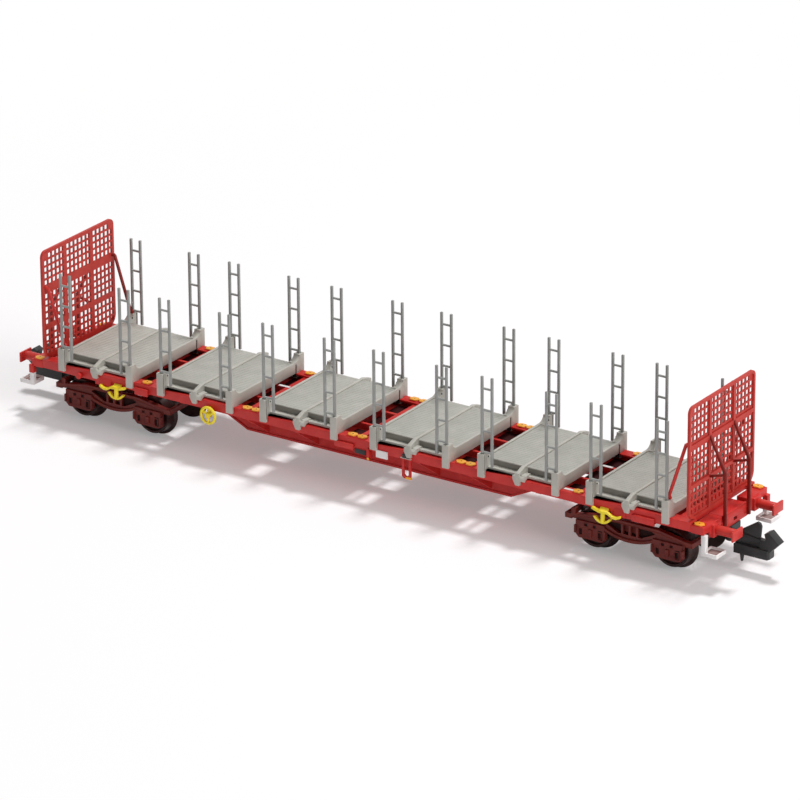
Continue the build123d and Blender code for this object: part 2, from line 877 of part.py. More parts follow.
def axlebox(x_mid, inset):
    """Draws an axlebox guard: a plate with its lower corners cut off."""
    half = axlebox_half - inset
    low = axlebox_bottom + inset
    Polygon(
        (x_mid - half, axlebox_top),
        (x_mid - half, low + axlebox_shoulder),
        (x_mid - half + axlebox_corner, low),
        (x_mid + half - axlebox_corner, low),
        (x_mid + half, low + axlebox_shoulder),
        (x_mid + half, axlebox_top),
        align=None,
    )


with BuildPart() as bogie:
    for side_name, side in sides:
        with BuildSketch(Plane.XZ.offset(-side * side_frame_inner)):
            with BuildLine():
                Polyline(
                    (-leaf_half, leaf_end_z),
                    (-knee, tail_bottom),
                    (-side_frame_tail, tail_bottom),
                    *top_edge,
                    (side_frame_tail, tail_bottom),
                    (knee, tail_bottom),
                    (leaf_half, leaf_end_z),
                )
                ThreePointArc((leaf_half, leaf_end_z), (0, leaf_bottom), (-leaf_half, leaf_end_z))
            make_face()
            Polygon(*window_outline, align=None, mode=Mode.SUBTRACT)
            for bar in (-1, 0, 1):
                with Locations((bar * window_bar_spacing, (window_floor + window_top) / 2)):
                    Rectangle(window_bar, window_top - window_floor + 2 * frame_lap)
            for axle in (-1, 1):
                axlebox(axle * wheelbase / 2, 0)
        extrude(amount=-side * side_frame_plate)
        with BuildSketch(Plane.XZ.offset(-side * (side_frame_inner + side_frame_plate))):
            Polygon(*top_edge, *[(x, z - chord_depth) for x, z in reversed(top_edge)], align=None)
            with BuildLine():
                ThreePointArc((leaf_half, leaf_end_z), (0, leaf_bottom), (-leaf_half, leaf_end_z))
                Line((-leaf_half, leaf_end_z), (-leaf_half, leaf_end_z + leaf_depth))
                ThreePointArc(
                    (-leaf_half, leaf_end_z + leaf_depth),
                    (0, leaf_bottom + leaf_depth),
                    (leaf_half, leaf_end_z + leaf_depth),
                )
                Line((leaf_half, leaf_end_z + leaf_depth), (leaf_half, leaf_end_z))
            make_face()
            for axle in (-1, 1):
                axle_x = axle * wheelbase / 2
                axlebox(axle_x, axlebox_step)
                for turn in (-1, 1):
                    with Locations((axle_x + turn * spring_window_x, spring_window_z)):
                        Rectangle(*spring_window, mode=Mode.SUBTRACT)
                    with Locations((axle_x + turn * lid_window_x, lid_window_z)):
                        Rectangle(*lid_window, mode=Mode.SUBTRACT)
        extrude(amount=-side * side_frame_relief)
        block(
            (side * side_frame_tail, side * (side_frame_tail - lug_length)),
            (side * side_frame_inner, side * side_frame_outer),
            (tail_top - lug_root, tail_top + lug_height),
        )
    for axle in (-1, 1):
        with Locations((axle * wheelbase / 2, 0, axle_z)):
            Cylinder(
                journal_radius + journal_clearance,
                2 * (side_frame_outer - journal_cap),
                rotation=(90, 0, 0),
                mode=Mode.SUBTRACT,
            )
        block(
            (axle * headstock_inner, axle * (headstock_inner + headstock_width)),
            (-side_frame_outer, side_frame_outer),
            (tail_bottom, tail_top),
        )
        for side_name, side in sides:
            block(
                (axle * (side_frame_tail - frame_lap), axle * (headstock_inner + frame_lap)),
                (side * side_frame_inner, side * side_frame_outer),
                (tail_bottom, tail_top),
            )
    block((-bolster_half, bolster_half), (-side_frame_inner, side_frame_inner), bolster_span)
    with BuildSketch(Plane.XY.offset(bolster_span[1])):
        RegularPolygon(pivot_pad_radius, pivot_pad_facets)
    extrude(amount=girder_shallow_z - pivot_gap - bolster_span[1])
    with BuildSketch(Plane.XY.offset(bolster_span[1])):
        Circle(pivot_post_radius)
    extrude(amount=girder_top - pivot_post_drop - bolster_span[1])
for end_name, end in ends:
    finish(bogie, f"bogie_{end_name}", Location((end * bogie_x, 0, 0)))

# Wheelsets: flanged wheels with a dished face on a plain axle
wheelsets = (
    ("wheelset_1", -bogie_x - wheelbase / 2),
    ("wheelset_2", -bogie_x + wheelbase / 2),
    ("wheelset_3", bogie_x - wheelbase / 2),
    ("wheelset_4", bogie_x + wheelbase / 2),
)
back = back_to_back / 2
journal_end = side_frame_outer - journal_cap - journal_end_gap
# radius, distance from the middle of the axle
half_profile = (
    (axle_radius, 0.0),
    (axle_radius, back),
    (tread_radius + flange_height, back),
    (tread_radius + flange_height, back + flange_tip),
    (tread_radius + flange_root, back + flange_width),
    (tread_radius, wheel_outer),
    (tread_radius - web_recess, wheel_outer),
    (hub_radius, wheel_outer - web_recess),
    (journal_radius, wheel_outer),
    (journal_radius, journal_end),
)
with BuildPart() as wheelset:
    with BuildSketch(Plane((0, 0, axle_z), x_dir=(0, 1, 0), z_dir=(1, 0, 0))):
        far_half = [(y, radius) for radius, y in half_profile[1:]]
        near_half = [(-y, radius) for radius, y in reversed(half_profile[1:])]
        Polygon((-journal_end, 0), *near_half, *far_half, (journal_end, 0), align=None)
    revolve(axis=Axis((0, 0, axle_z), (0, 1, 0)))
for wheelset_name, wheelset_x in wheelsets:
    finish(wheelset, wheelset_name, Location((wheelset_x, 0, 0)))

# Couplers: a pocket with its pin under each end beam, and a swinging hook
shank_span = (4.3, 5.0)
shank_half = 0.55
shank_eye = 0.8
shank_lap = 1.0
pin_bore_depth = 2.0
pocket_gap = 0.1
pocket_half = 1.2
pocket_x = (coupler_pivot_x - 0.9, coupler_pivot_x + 0.75)
pocket_bottom = shank_span[1] + pocket_gap
hook_body_x = (57.95, 63.5)
hook_body_half = 1.0
hook_body_span = (2.9, 4.25)
hook_nose = (0.2, 0.4)
spine_half = 0.42
fin_half = 0.2
jaw_half = 0.75
peg_place = (59.1, -0.55)
peg_radius = 0.36
peg_length = 1.15
peg_taper = 8
# outlines seen from the side: x, z
spine_outline = ((58.2, hook_body_span[1]), (58.2, 5.9), (63.2, 5.3), (63.4, hook_body_span[1]))
fin_outline = ((58.7, 5.6), (58.7, 6.25), (61.2, 7.9), (61.65, 7.75), (61.85, 7.3), (61.65, 5.2))
jaw_outline = (
    (62.0, hook_body_span[1]), (62.0, 5.2), (62.9, 5.8), (62.65, 6.6),
    (63.35, 6.95), (65.0, 5.5), (63.45, 3.9),
)
with BuildPart() as pocket:
    block(pocket_x, (-pocket_half, pocket_half), (pocket_bottom, platform_bottom))
    block(
        (pocket_x[0], beam_face_x - corner_plate),
        (-pocket_half, pocket_half),
        (platform_bottom, platform_top - platform_wall),
    )
    with BuildSketch(Plane.XY.offset(pocket_bottom)):
        with Locations((coupler_pivot_x, 0)):
            Circle(coupler_pin_radius)
    extrude(amount=shank_span[0] - pocket_bottom)
finish_ends(pocket, "coupler_pocket")

with BuildPart() as coupler:
    with BuildSketch(Plane.XY.offset(shank_span[0])):
        with Locations((coupler_pivot_x, 0)):
            Circle(shank_eye)
        with Locations(((coupler_pivot_x + hook_body_x[0] + shank_lap) / 2, 0)):
            Rectangle(hook_body_x[0] + shank_lap - coupler_pivot_x, 2 * shank_half)
    extrude(amount=shank_span[1] - shank_span[0])
    with BuildSketch(Plane.XY.offset(hook_body_span[0])):
        Polygon(
            (hook_body_x[0], -hook_body_half),
            (hook_body_x[1] - hook_nose[0], -hook_body_half),
            (hook_body_x[1], hook_nose[1] - hook_body_half),
            (hook_body_x[1], hook_body_half - hook_nose[1]),
            (hook_body_x[1] - hook_nose[0], hook_body_half),
            (hook_body_x[0], hook_body_half),
            align=None,
        )
    extrude(amount=hook_body_span[1] - hook_body_span[0])
    for outline, half in ((spine_outline, spine_half), (fin_outline, fin_half), (jaw_outline, jaw_half)):
        with BuildSketch(Plane.XZ):
            Polygon(*outline, align=None)
        extrude(amount=half, both=True)
    with BuildSketch(Plane.XY.offset(hook_body_span[0])):
        with Locations(peg_place):
            RegularPolygon(peg_radius, 8)
    extrude(amount=-peg_length, taper=peg_taper)
    with Locations((coupler_pivot_x, 0, (shank_span[0] + shank_span[1]) / 2)):
        Cylinder(coupler_pin_radius + coupler_pin_clearance, pin_bore_depth, mode=Mode.SUBTRACT)
finish_ends(coupler, "coupler")
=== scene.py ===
"""Log carrier wagon, a 1:160 model: finishes, moulded details, studio and camera.

Sizes are in millimetres. X runs along the wagon to its right end, Y from the near side to the
far one and Z up.
"""
import json
import logging
from collections.abc import Callable, Iterator
from contextlib import contextmanager
from dataclasses import dataclass
from enum import Enum
from math import cos, pi, radians, sin

import bpy
from mathutils import Matrix, Vector

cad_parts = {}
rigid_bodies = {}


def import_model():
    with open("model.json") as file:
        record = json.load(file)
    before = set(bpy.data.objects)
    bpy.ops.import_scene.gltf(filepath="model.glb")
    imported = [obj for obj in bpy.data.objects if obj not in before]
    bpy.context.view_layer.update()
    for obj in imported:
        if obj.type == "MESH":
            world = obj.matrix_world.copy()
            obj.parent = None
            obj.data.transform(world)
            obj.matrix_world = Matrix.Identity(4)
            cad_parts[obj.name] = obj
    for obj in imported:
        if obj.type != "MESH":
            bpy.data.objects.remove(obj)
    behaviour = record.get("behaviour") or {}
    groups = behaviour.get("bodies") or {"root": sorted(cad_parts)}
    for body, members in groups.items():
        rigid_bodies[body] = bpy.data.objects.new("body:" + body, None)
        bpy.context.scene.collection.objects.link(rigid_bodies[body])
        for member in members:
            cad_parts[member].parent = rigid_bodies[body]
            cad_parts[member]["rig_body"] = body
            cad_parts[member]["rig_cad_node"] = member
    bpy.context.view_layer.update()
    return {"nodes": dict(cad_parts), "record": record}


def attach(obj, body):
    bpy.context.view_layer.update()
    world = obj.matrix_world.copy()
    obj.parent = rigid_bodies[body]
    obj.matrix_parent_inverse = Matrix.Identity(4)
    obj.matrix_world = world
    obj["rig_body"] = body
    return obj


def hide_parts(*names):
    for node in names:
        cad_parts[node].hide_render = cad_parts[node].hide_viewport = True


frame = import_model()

LOG = logging.getLogger("wagon")
MM = 0.001
DOUBLES_MM = 0.002
NEAR, FAR = SIDES = (-1, 1)
ENDS = (-1, 1)

Piece = bpy.types.Object
Span = tuple[float, float]
Point = tuple[float, float, float]
# spans along X, Y and Z
Box = tuple[Span, Span, Span]
# takes a face's centre in millimetres and its normal
FaceTest = Callable[[Vector, Vector], bool]


class Surface(Enum):
    """How a finish was made. The value is the strength of the grain that this leaves."""

    MOULDED = 0.12
    TURNED = 0.05


def linear(colour: str) -> tuple[float, float, float, float]:
    """Turns an sRGB hex colour to linear light.

    Args:
        colour: six hex digits.

    Returns:
        Red, green, blue and an alpha of one.
    """
    parts = [int(colour[i : i + 2], 16) / 255 for i in (0, 2, 4)]
    lit = [c / 12.92 if c <= 0.04045 else ((c + 0.055) / 1.055) ** 2.4 for c in parts]
    return (lit[0], lit[1], lit[2], 1.0)


def per_metre(size_mm: float) -> float:
    """Gives the texture scale that puts one cell in each size_mm."""
    return 1.0 / (size_mm * MM)


def blank_tree(owner: bpy.types.Material | bpy.types.World) -> bpy.types.NodeTree:
    """Turns on a material's or a world's nodes, and gives their tree, emptied.

    Args:
        owner: the new material or world.

    Returns:
        The tree.
    """
    owner.use_nodes = True
    owner.node_tree.nodes.clear()
    return owner.node_tree


def add_node(
    tree: bpy.types.NodeTree, kind: str, settings: dict | None = None, links: dict | None = None
) -> bpy.types.Node:
    """Adds a node with its settings and links.

    Args:
        tree: the node tree.
        kind: Blender's node type, without ShaderNode.
        settings: attribute names, or socket names, with their values.
        links: this node's input names or indices, each with the output that feeds it, or
            with a node whose first output does.

    Returns:
        The new node.
    """
    node = tree.nodes.new(f"ShaderNode{kind}")
    for name, value in (settings or {}).items():
        if name in node.inputs:
            node.inputs[name].default_value = value
        else:
            setattr(node, name, value)
    for name, source in (links or {}).items():
        output = source.outputs[0] if isinstance(source, bpy.types.Node) else source
        tree.links.new(output, node.inputs[name])
    return node


@dataclass(frozen=True)
class PlasticFinish:
    """Injection-moulded polystyrene with a satin skin, as on small scale models.

    It gives soft wide highlights, a faint mottle in the colour and a very fine grain.
    """

    name: str
    colour: str
    worn: str
    roughness: float = 0.42
    surface: Surface = Surface.MOULDED
    specular: float = 0.32
    ior: float = 1.5
    mottle_mm: float = 2.2
    # the part of the noise over which one colour turns to the other
    mottle_range: Span = (0.38, 0.68)
    # how far the roughness wanders below and above its own value
    gloss_range: Span = (-0.06, 0.1)
    # drawn coarser than the real grain of the tool, which is too fine to show
    grain_mm: float = 0.12
    grain_depth_mm: float = 0.02

    def make(self) -> bpy.types.Material:
        """Builds the material's nodes.

        Returns:
            The material, ready to be assigned.
        """
        material = bpy.data.materials.new(self.name)
        tree = blank_tree(material)
        place = add_node(tree, "TexCoord").outputs["Object"]
        mottle = add_node(
            tree, "TexNoise",
            {"Scale": per_metre(self.mottle_mm), "Detail": 4.0, "Roughness": 0.55},
            {"Vector": place},
        )
        spread = add_node(
            tree, "MapRange",
            {"From Min": self.mottle_range[0], "From Max": self.mottle_range[1]},
            {"Value": mottle},
        )
        colour = add_node(tree, "Mix", {"data_type": "RGBA"}, {"Factor": spread})
        # sockets 6 and 7 are the two colours and output 2 their mix, which share their names
        # with the node's other kinds of data
        colour.inputs[6].default_value = linear(self.colour)
        colour.inputs[7].default_value = linear(self.worn)
        fine = {"Scale": per_metre(self.grain_mm), "Detail": 2.0}
        grain = add_node(tree, "TexNoise", fine, {"Vector": place})
        smoother, rougher = self.gloss_range
        gloss = add_node(
            tree, "MapRange",
            {"To Min": self.roughness + smoother, "To Max": self.roughness + rougher},
            {"Value": mottle},
        )
        bump = add_node(
            tree, "Bump",
            {"Strength": self.surface.value, "Distance": self.grain_depth_mm * MM},
            {"Height": grain},
        )
        shader = add_node(
            tree, "BsdfPrincipled",
            {"IOR": self.ior, "Specular IOR Level": self.specular},
            {"Base Color": colour.outputs[2], "Roughness": gloss, "Normal": bump},
        )
        add_node(tree, "OutputMaterial", links={"Surface": shader})
        return material


class Paintbox:
    """All the wagon's finishes, each made once."""

    recipes: dict[str, PlasticFinish] = {
        # a clear warm red with a soft sheen along the girders' edges
        "frame_red": PlasticFinish("red moulded polystyrene", "C02724", "C9352F", specular=0.28),
        # flatter and browner than the frame, so the rows of holes read without glints
        "bulkhead_red": PlasticFinish(
            "dull red moulded polystyrene sheet", "B5332B", "BF3F36", 0.48, specular=0.22
        ),
        # a deep red for the props, and as painted shade on the far stays
        "dark_red": PlasticFinish("dark red moulded rod", "7A1E18", "8A2922", specular=0.25),
        # pale and almost matt, with broad soft shading on the sockets
        "tray_grey": PlasticFinish("pale grey moulded polystyrene", "B3B1A8", "BBB9B0", 0.5),
        # a little darker than the sockets
        "plank_grey": PlasticFinish("pale grey moulded deck board", "A7A69E", "B1B0A8", 0.5),
        # cooler and darker, so the thin ladders stand out from the decks
        "stake_grey": PlasticFinish("mid grey moulded rod", "929491", "9D9F9C", 0.5),
        # a dull red brown that goes nearly black in the bogies' hollows
        "bogie_brown": PlasticFinish(
            "red brown moulded polystyrene", "611E18", "71281F", 0.46, specular=0.28
        ),
        # turned metal under a black coat: narrow highlights round the tread
        "wheel_black": PlasticFinish("blackened wheel", "2B1A17", "392522", 0.35, Surface.TURNED),
        # a bright yellow with small crisp glints on the handles
        "brake_yellow": PlasticFinish("yellow moulded polystyrene", "F0D822", "F5E245", 0.4),
        # a warm orange, smooth and slightly glossy
        "pad_orange": PlasticFinish("orange moulded pad", "EFA022", "F5B548"),
        # near white, with a slight gloss that keeps the blank boards bright
        "board_white": PlasticFinish("white moulded polystyrene", "E2DFDD", "ECEAE8", 0.4),
        # black with a clear sheen that draws the hook's round edges
        "coupler_black": PlasticFinish("black moulded nylon", "222222", "2D2D2D", 0.38),
        # painted shade: the bogies' backs behind the springs and the blocks in the axlebox
        # windows, no sheen, almost black
        "spring_shadow": PlasticFinish(
            "red brown moulded polystyrene in shade", "1C0605", "270B09", 0.6, specular=0.12
        ),
        # painted shade: the frame's floor, deep between the trays, a black with a trace of red
        "recess_dark": PlasticFinish(
            "red moulded polystyrene in deep shade", "2B0A0C", "380F11", 0.6, specular=0.15
        ),
        # painted shade: the inside of a slit in the grey plastic, a dark line without a glint
        "tray_gap": PlasticFinish(
            "pale grey moulded polystyrene in a slit, painted shade", "231F1C", "2D2925", 0.6, specular=0.15
        ),
        # painted shade: the deck's edge below the lip of its boards and the grooves beside the
        # rims and the rib, a soft grey line
        "deck_shade": PlasticFinish(
            "pale grey moulded polystyrene under a lip, painted shade", "7C7972", "86837B", 0.6, specular=0.15
        ),
        # a darker, rough grey brown tread inside the bright rim of the step
        "step_grip": PlasticFinish("grey brown moulded grip", "8B7672", "97837F", 0.6),
        # the frame's red a little lighter, with a highlight on each domed head
        "buffer_red": PlasticFinish("satin red moulded buffer", "C42C27", "CC3A32", 0.38),
    }

    # finishes that share another one's slot
    slots: dict[str, str] = {
        "plank_grey": "tray_grey",
        "spring_shadow": "bogie_brown",
        "recess_dark": "frame_red",
        "tray_gap": "tray_grey",
        "deck_shade": "tray_grey",
        "step_grip": "board_white",
    }

    def __init__(self) -> None:
        """Starts with nothing mixed."""
        self.made: dict[str, bpy.types.Material] = {}

    def get(self, name: str) -> bpy.types.Material:
        """Gives a finish, mixing it the first time.

        Args:
            name: its name among the recipes.

        Returns:
            The material.
        """
        if name not in self.made:
            self.made[name] = self.recipes[name].make()
        return self.made[name]

    def slot(self, name: str) -> str:
        """Gives the record's slot that a finish belongs to."""
        return self.slots.get(name, name)


def around(middle: float, half: float) -> Span:
    """Gives the span that reaches half to both sides of a middle."""
    return (middle - half, middle + half)


def moved(span: Span, by: float) -> Span:
    """Moves a span along."""
    return (by + span[0], by + span[1])


def mirrored(span: Span, side: int, middle: float = 0) -> Span:
    """Puts a span on one side of a middle, the negative one where side is -1."""
    return (middle + side * span[0], middle + side * span[1])


def placed(box: Box, side: int, end: int = 1, middle: float = 0) -> Box:
    """Puts a box on one side of the wagon and at one end of a middle along X."""
    return (mirrored(box[0], end, middle), mirrored(box[1], side), box[2])


def shrunk(span: Span, by: float) -> Span:
    """Takes a length off both ends of a rising span."""
    return (span[0] + by, span[1] - by)


def only(*pieces: Piece) -> None:
    """Selects these pieces alone.

    Args:
        pieces: the pieces, of which the first becomes active.
    """
    bpy.ops.object.select_all(action="DESELECT")
    for piece in pieces:
        piece.select_set(True)
    bpy.context.view_layer.objects.active = pieces[0]


def named(name: str) -> Piece:
    """Names the active piece.

    Args:
        name: the name for the piece and its mesh.

    Returns:
        The piece.
    """
    piece = bpy.context.view_layer.objects.active
    piece.name = name
    piece.data.name = name
    return piece


def applied() -> Piece:
    """Puts the active piece's place, turn and scale into its mesh, and gives the piece."""
    bpy.ops.object.transform_apply(location=True, rotation=True, scale=True)
    return bpy.context.view_layer.objects.active


@contextmanager
def editing() -> Iterator[None]:
    """Puts the active piece in edit mode for the lines inside."""
    bpy.ops.object.mode_set(mode="EDIT")
    yield
    bpy.ops.object.mode_set(mode="OBJECT")


def pick_faces(piece: Piece, test: FaceTest) -> None:
    """Selects a piece's faces.

    Args:
        piece: the piece, in object mode.
        test: picks the faces by centre and normal.
    """
    only(piece)
    with editing():
        bpy.ops.mesh.select_mode(type="FACE")
        bpy.ops.mesh.select_all(action="DESELECT")
    for face in piece.data.polygons:
        face.select = test(face.center / MM, face.normal)


def break_edges(
    piece: Piece, edge: float, steps: int = 2, test: FaceTest = lambda centre, normal: True
) -> None:
    """Rounds the edges of a new primitive's faces.

    Args:
        piece: the piece, in object mode.
        edge: how far each edge is rounded.
        steps: faces in each rounded edge.
        test: picks the faces by centre and normal.
    """
    pick_faces(piece, test)
    with editing():
        bpy.ops.mesh.bevel(offset=edge * MM, segments=steps, affect="EDGES")


def block(x: Span, y: Span, z: Span, edge: float = 0.05, steps: int = 2) -> Piece:
    """Adds a block and breaks its edges.

    Args:
        x: its ends along X, in either order.
        y: its ends along Y.
        z: its ends along Z.
        edge: how far each edge is rounded, or 0.
        steps: faces in each rounded edge.

    Returns:
        The block, its place in its mesh.
    """
    bpy.ops.object.select_all(action="DESELECT")
    bpy.ops.mesh.primitive_cube_add(
        size=1,
        location=[(min(span) + max(span)) / 2 * MM for span in (x, y, z)],
        scale=[(max(span) - min(span)) * MM for span in (x, y, z)],
    )
    piece = applied()
    if edge:
        break_edges(piece, edge, steps)
    return piece


def rod(start: Point, end: Point, radius: float, sides: int = 20, edge: float = 0.05) -> Piece:
    """Adds a round rod between two points and breaks the edges of its ends.

    Args:
        start: the middle of one end.
        end: the middle of the other end.
        radius: its radius.
        sides: faces around it.
        edge: how far the ends' edges are rounded.

    Returns:
        The rod, its place in its mesh.
    """
    a, b = Vector(start) * MM, Vector(end) * MM
    bpy.ops.object.select_all(action="DESELECT")
    bpy.ops.mesh.primitive_cylinder_add(
        vertices=sides,
        radius=radius * MM,
        depth=(b - a).length,
        location=(a + b) / 2,
        rotation=(b - a).to_track_quat("Z", "Y").to_euler(),
    )
    piece = applied()
    way = (b - a).normalized()
    break_edges(piece, edge, 2, lambda centre, normal: abs(normal.dot(way)) > 0.9)
    return piece


def joined(name: str, pieces: list[Piece]) -> Piece:
    """Joins pieces into one.

    Args:
        name: the name for the whole.
        pieces: the pieces, or a single one.

    Returns:
        The whole.
    """
    only(*pieces)
    if len(pieces) > 1:
        bpy.ops.object.join()
    return named(name)


def again(piece: Piece, name: str, shift: Point = (0, 0, 0), turned: bool = False) -> Piece:
    """Copies a piece with a mesh of its own, moved along or turned half round the middle.

    Args:
        piece: the piece to copy.
        name: the copy's name.
        shift: how far it moves.
        turned: whether it is turned to the wagon's other end.

    Returns:
        The copy.
    """
    only(piece)
    bpy.ops.object.duplicate()
    twin = named(name)
    twin.location = Vector(shift) * MM
    if turned:
        twin.rotation_euler = (0, 0, pi)
    return applied()


def cut_out(piece: Piece, cutters: list[Piece]) -> None:
    """Cuts blocks out of a piece.

    Args:
        piece: the piece.
        cutters: the blocks, which may overlap and are used up.
    """
    tool = joined("cutter", cutters)
    only(piece)
    bpy.ops.object.modifier_add(type="BOOLEAN")
    cut = piece.modifiers[-1]
    cut.operation = "DIFFERENCE"
    cut.solver = "EXACT"
    cut.use_self = True
    cut.object = tool
    bpy.ops.object.modifier_apply(modifier=cut.name)
    bpy.data.objects.remove(tool)


def copy_node(node: str, name: str) -> Piece:
    """Copies a node's solid as a clean mesh to be worked on.

    Args:
        node: the node's name.
        name: the copy's name.

    Returns:
        The copy, with its doubles merged and its triangles paired.
    """
    only(frame["nodes"][node])
    bpy.ops.object.duplicate()
    piece = named(name)
    piece.parent = None
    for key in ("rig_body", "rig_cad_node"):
        del piece[key]
    with editing():
        bpy.ops.mesh.select_all(action="SELECT")
        bpy.ops.mesh.remove_doubles(threshold=DOUBLES_MM * MM)
        bpy.ops.mesh.tris_convert_to_quads(face_threshold=radians(1), shape_threshold=pi)
    return piece


def soften(piece: Piece, radius: float, steps: int = 2, sharper_than: float = 34) -> None:
    """Rounds a piece's sharp edges by a small radius, as a moulding tool leaves them.

    Args:
        piece: the piece.
        radius: the radius.
        steps: faces in each rounded edge.
        sharper_than: only edges over this angle are rounded.
    """
    only(piece)
    bpy.ops.object.modifier_add(type="BEVEL")
    bevel = piece.modifiers[-1]
    bevel.width = radius * MM
    bevel.segments = steps
    bevel.limit_method = "ANGLE"
    bevel.angle_limit = radians(sharper_than)
    bevel.use_clamp_overlap = True
    bevel.miter_outer = "MITER_ARC"
    bpy.ops.object.modifier_apply(modifier=bevel.name)


@dataclass
class Assembly:
    """A sub-assembly of the wagon, with the finishes that dress it."""

    paint: Paintbox

    def settle(self, piece: Piece, finish: str, smooth: float = 32, body: str = "wagon") -> None:
        """Gives a finished piece its shading, its finish and the body that it rides on.

        Args:
            piece: the modelled piece.
            finish: the finish's name.
            smooth: edges sharper than this angle stay sharp.
            body: the body it rides on.
        """
        only(piece)
        applied()
        bpy.ops.object.shade_smooth_by_angle(angle=radians(smooth))
        piece.data.materials.clear()
        piece.data.materials.append(self.paint.get(finish))
        self.paint.slot(finish)
        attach(piece, body)
        LOG.info("piece %s, %d faces", piece.name, len(piece.data.polygons))

    def settle_pair(self, piece: Piece, twin: str, finish: str, smooth: float = 32) -> Piece:
        """Settles a piece and a copy of it, turned to the wagon's other end.

        Args:
            piece: the modelled piece.
            twin: the copy's name.
            finish: the finish's name.
            smooth: edges sharper than this angle stay sharp.

        Returns:
            The copy.
        """
        copy = again(piece, twin, turned=True)
        self.settle(piece, finish, smooth)
        self.settle(copy, finish, smooth)
        return copy


@dataclass
class Mouldings(Assembly):
    """Pieces whose solids are right, remade with the soft edges of a moulding."""

    # node, radius of its edges, finish
    plain: tuple[tuple[str, float, str], ...] = (
        ("solebar_near", 0.07, "frame_red"),
        ("solebar_far", 0.07, "frame_red"),
        ("end_beam_left", 0.07, "frame_red"),
        ("end_beam_right", 0.07, "frame_red"),
        ("bulkhead_props_left", 0.08, "dark_red"),
        ("bulkhead_props_right", 0.08, "dark_red"),
        ("steps_left", 0.05, "board_white"),
        ("steps_right", 0.05, "board_white"),
        ("brake_levers", 0.09, "brake_yellow"),
        ("equipment_cases", 0.07, "frame_red"),
        ("tether_brackets", 0.06, "frame_red"),
    )

    def build(self) -> None:
        """Remakes each node and lets the copy stand for it."""
        for node, radius, finish in self.plain:
            piece = copy_node(node, f"{node}_moulding")
            soften(piece, radius)
            self.settle(piece, finish)
            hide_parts(node)


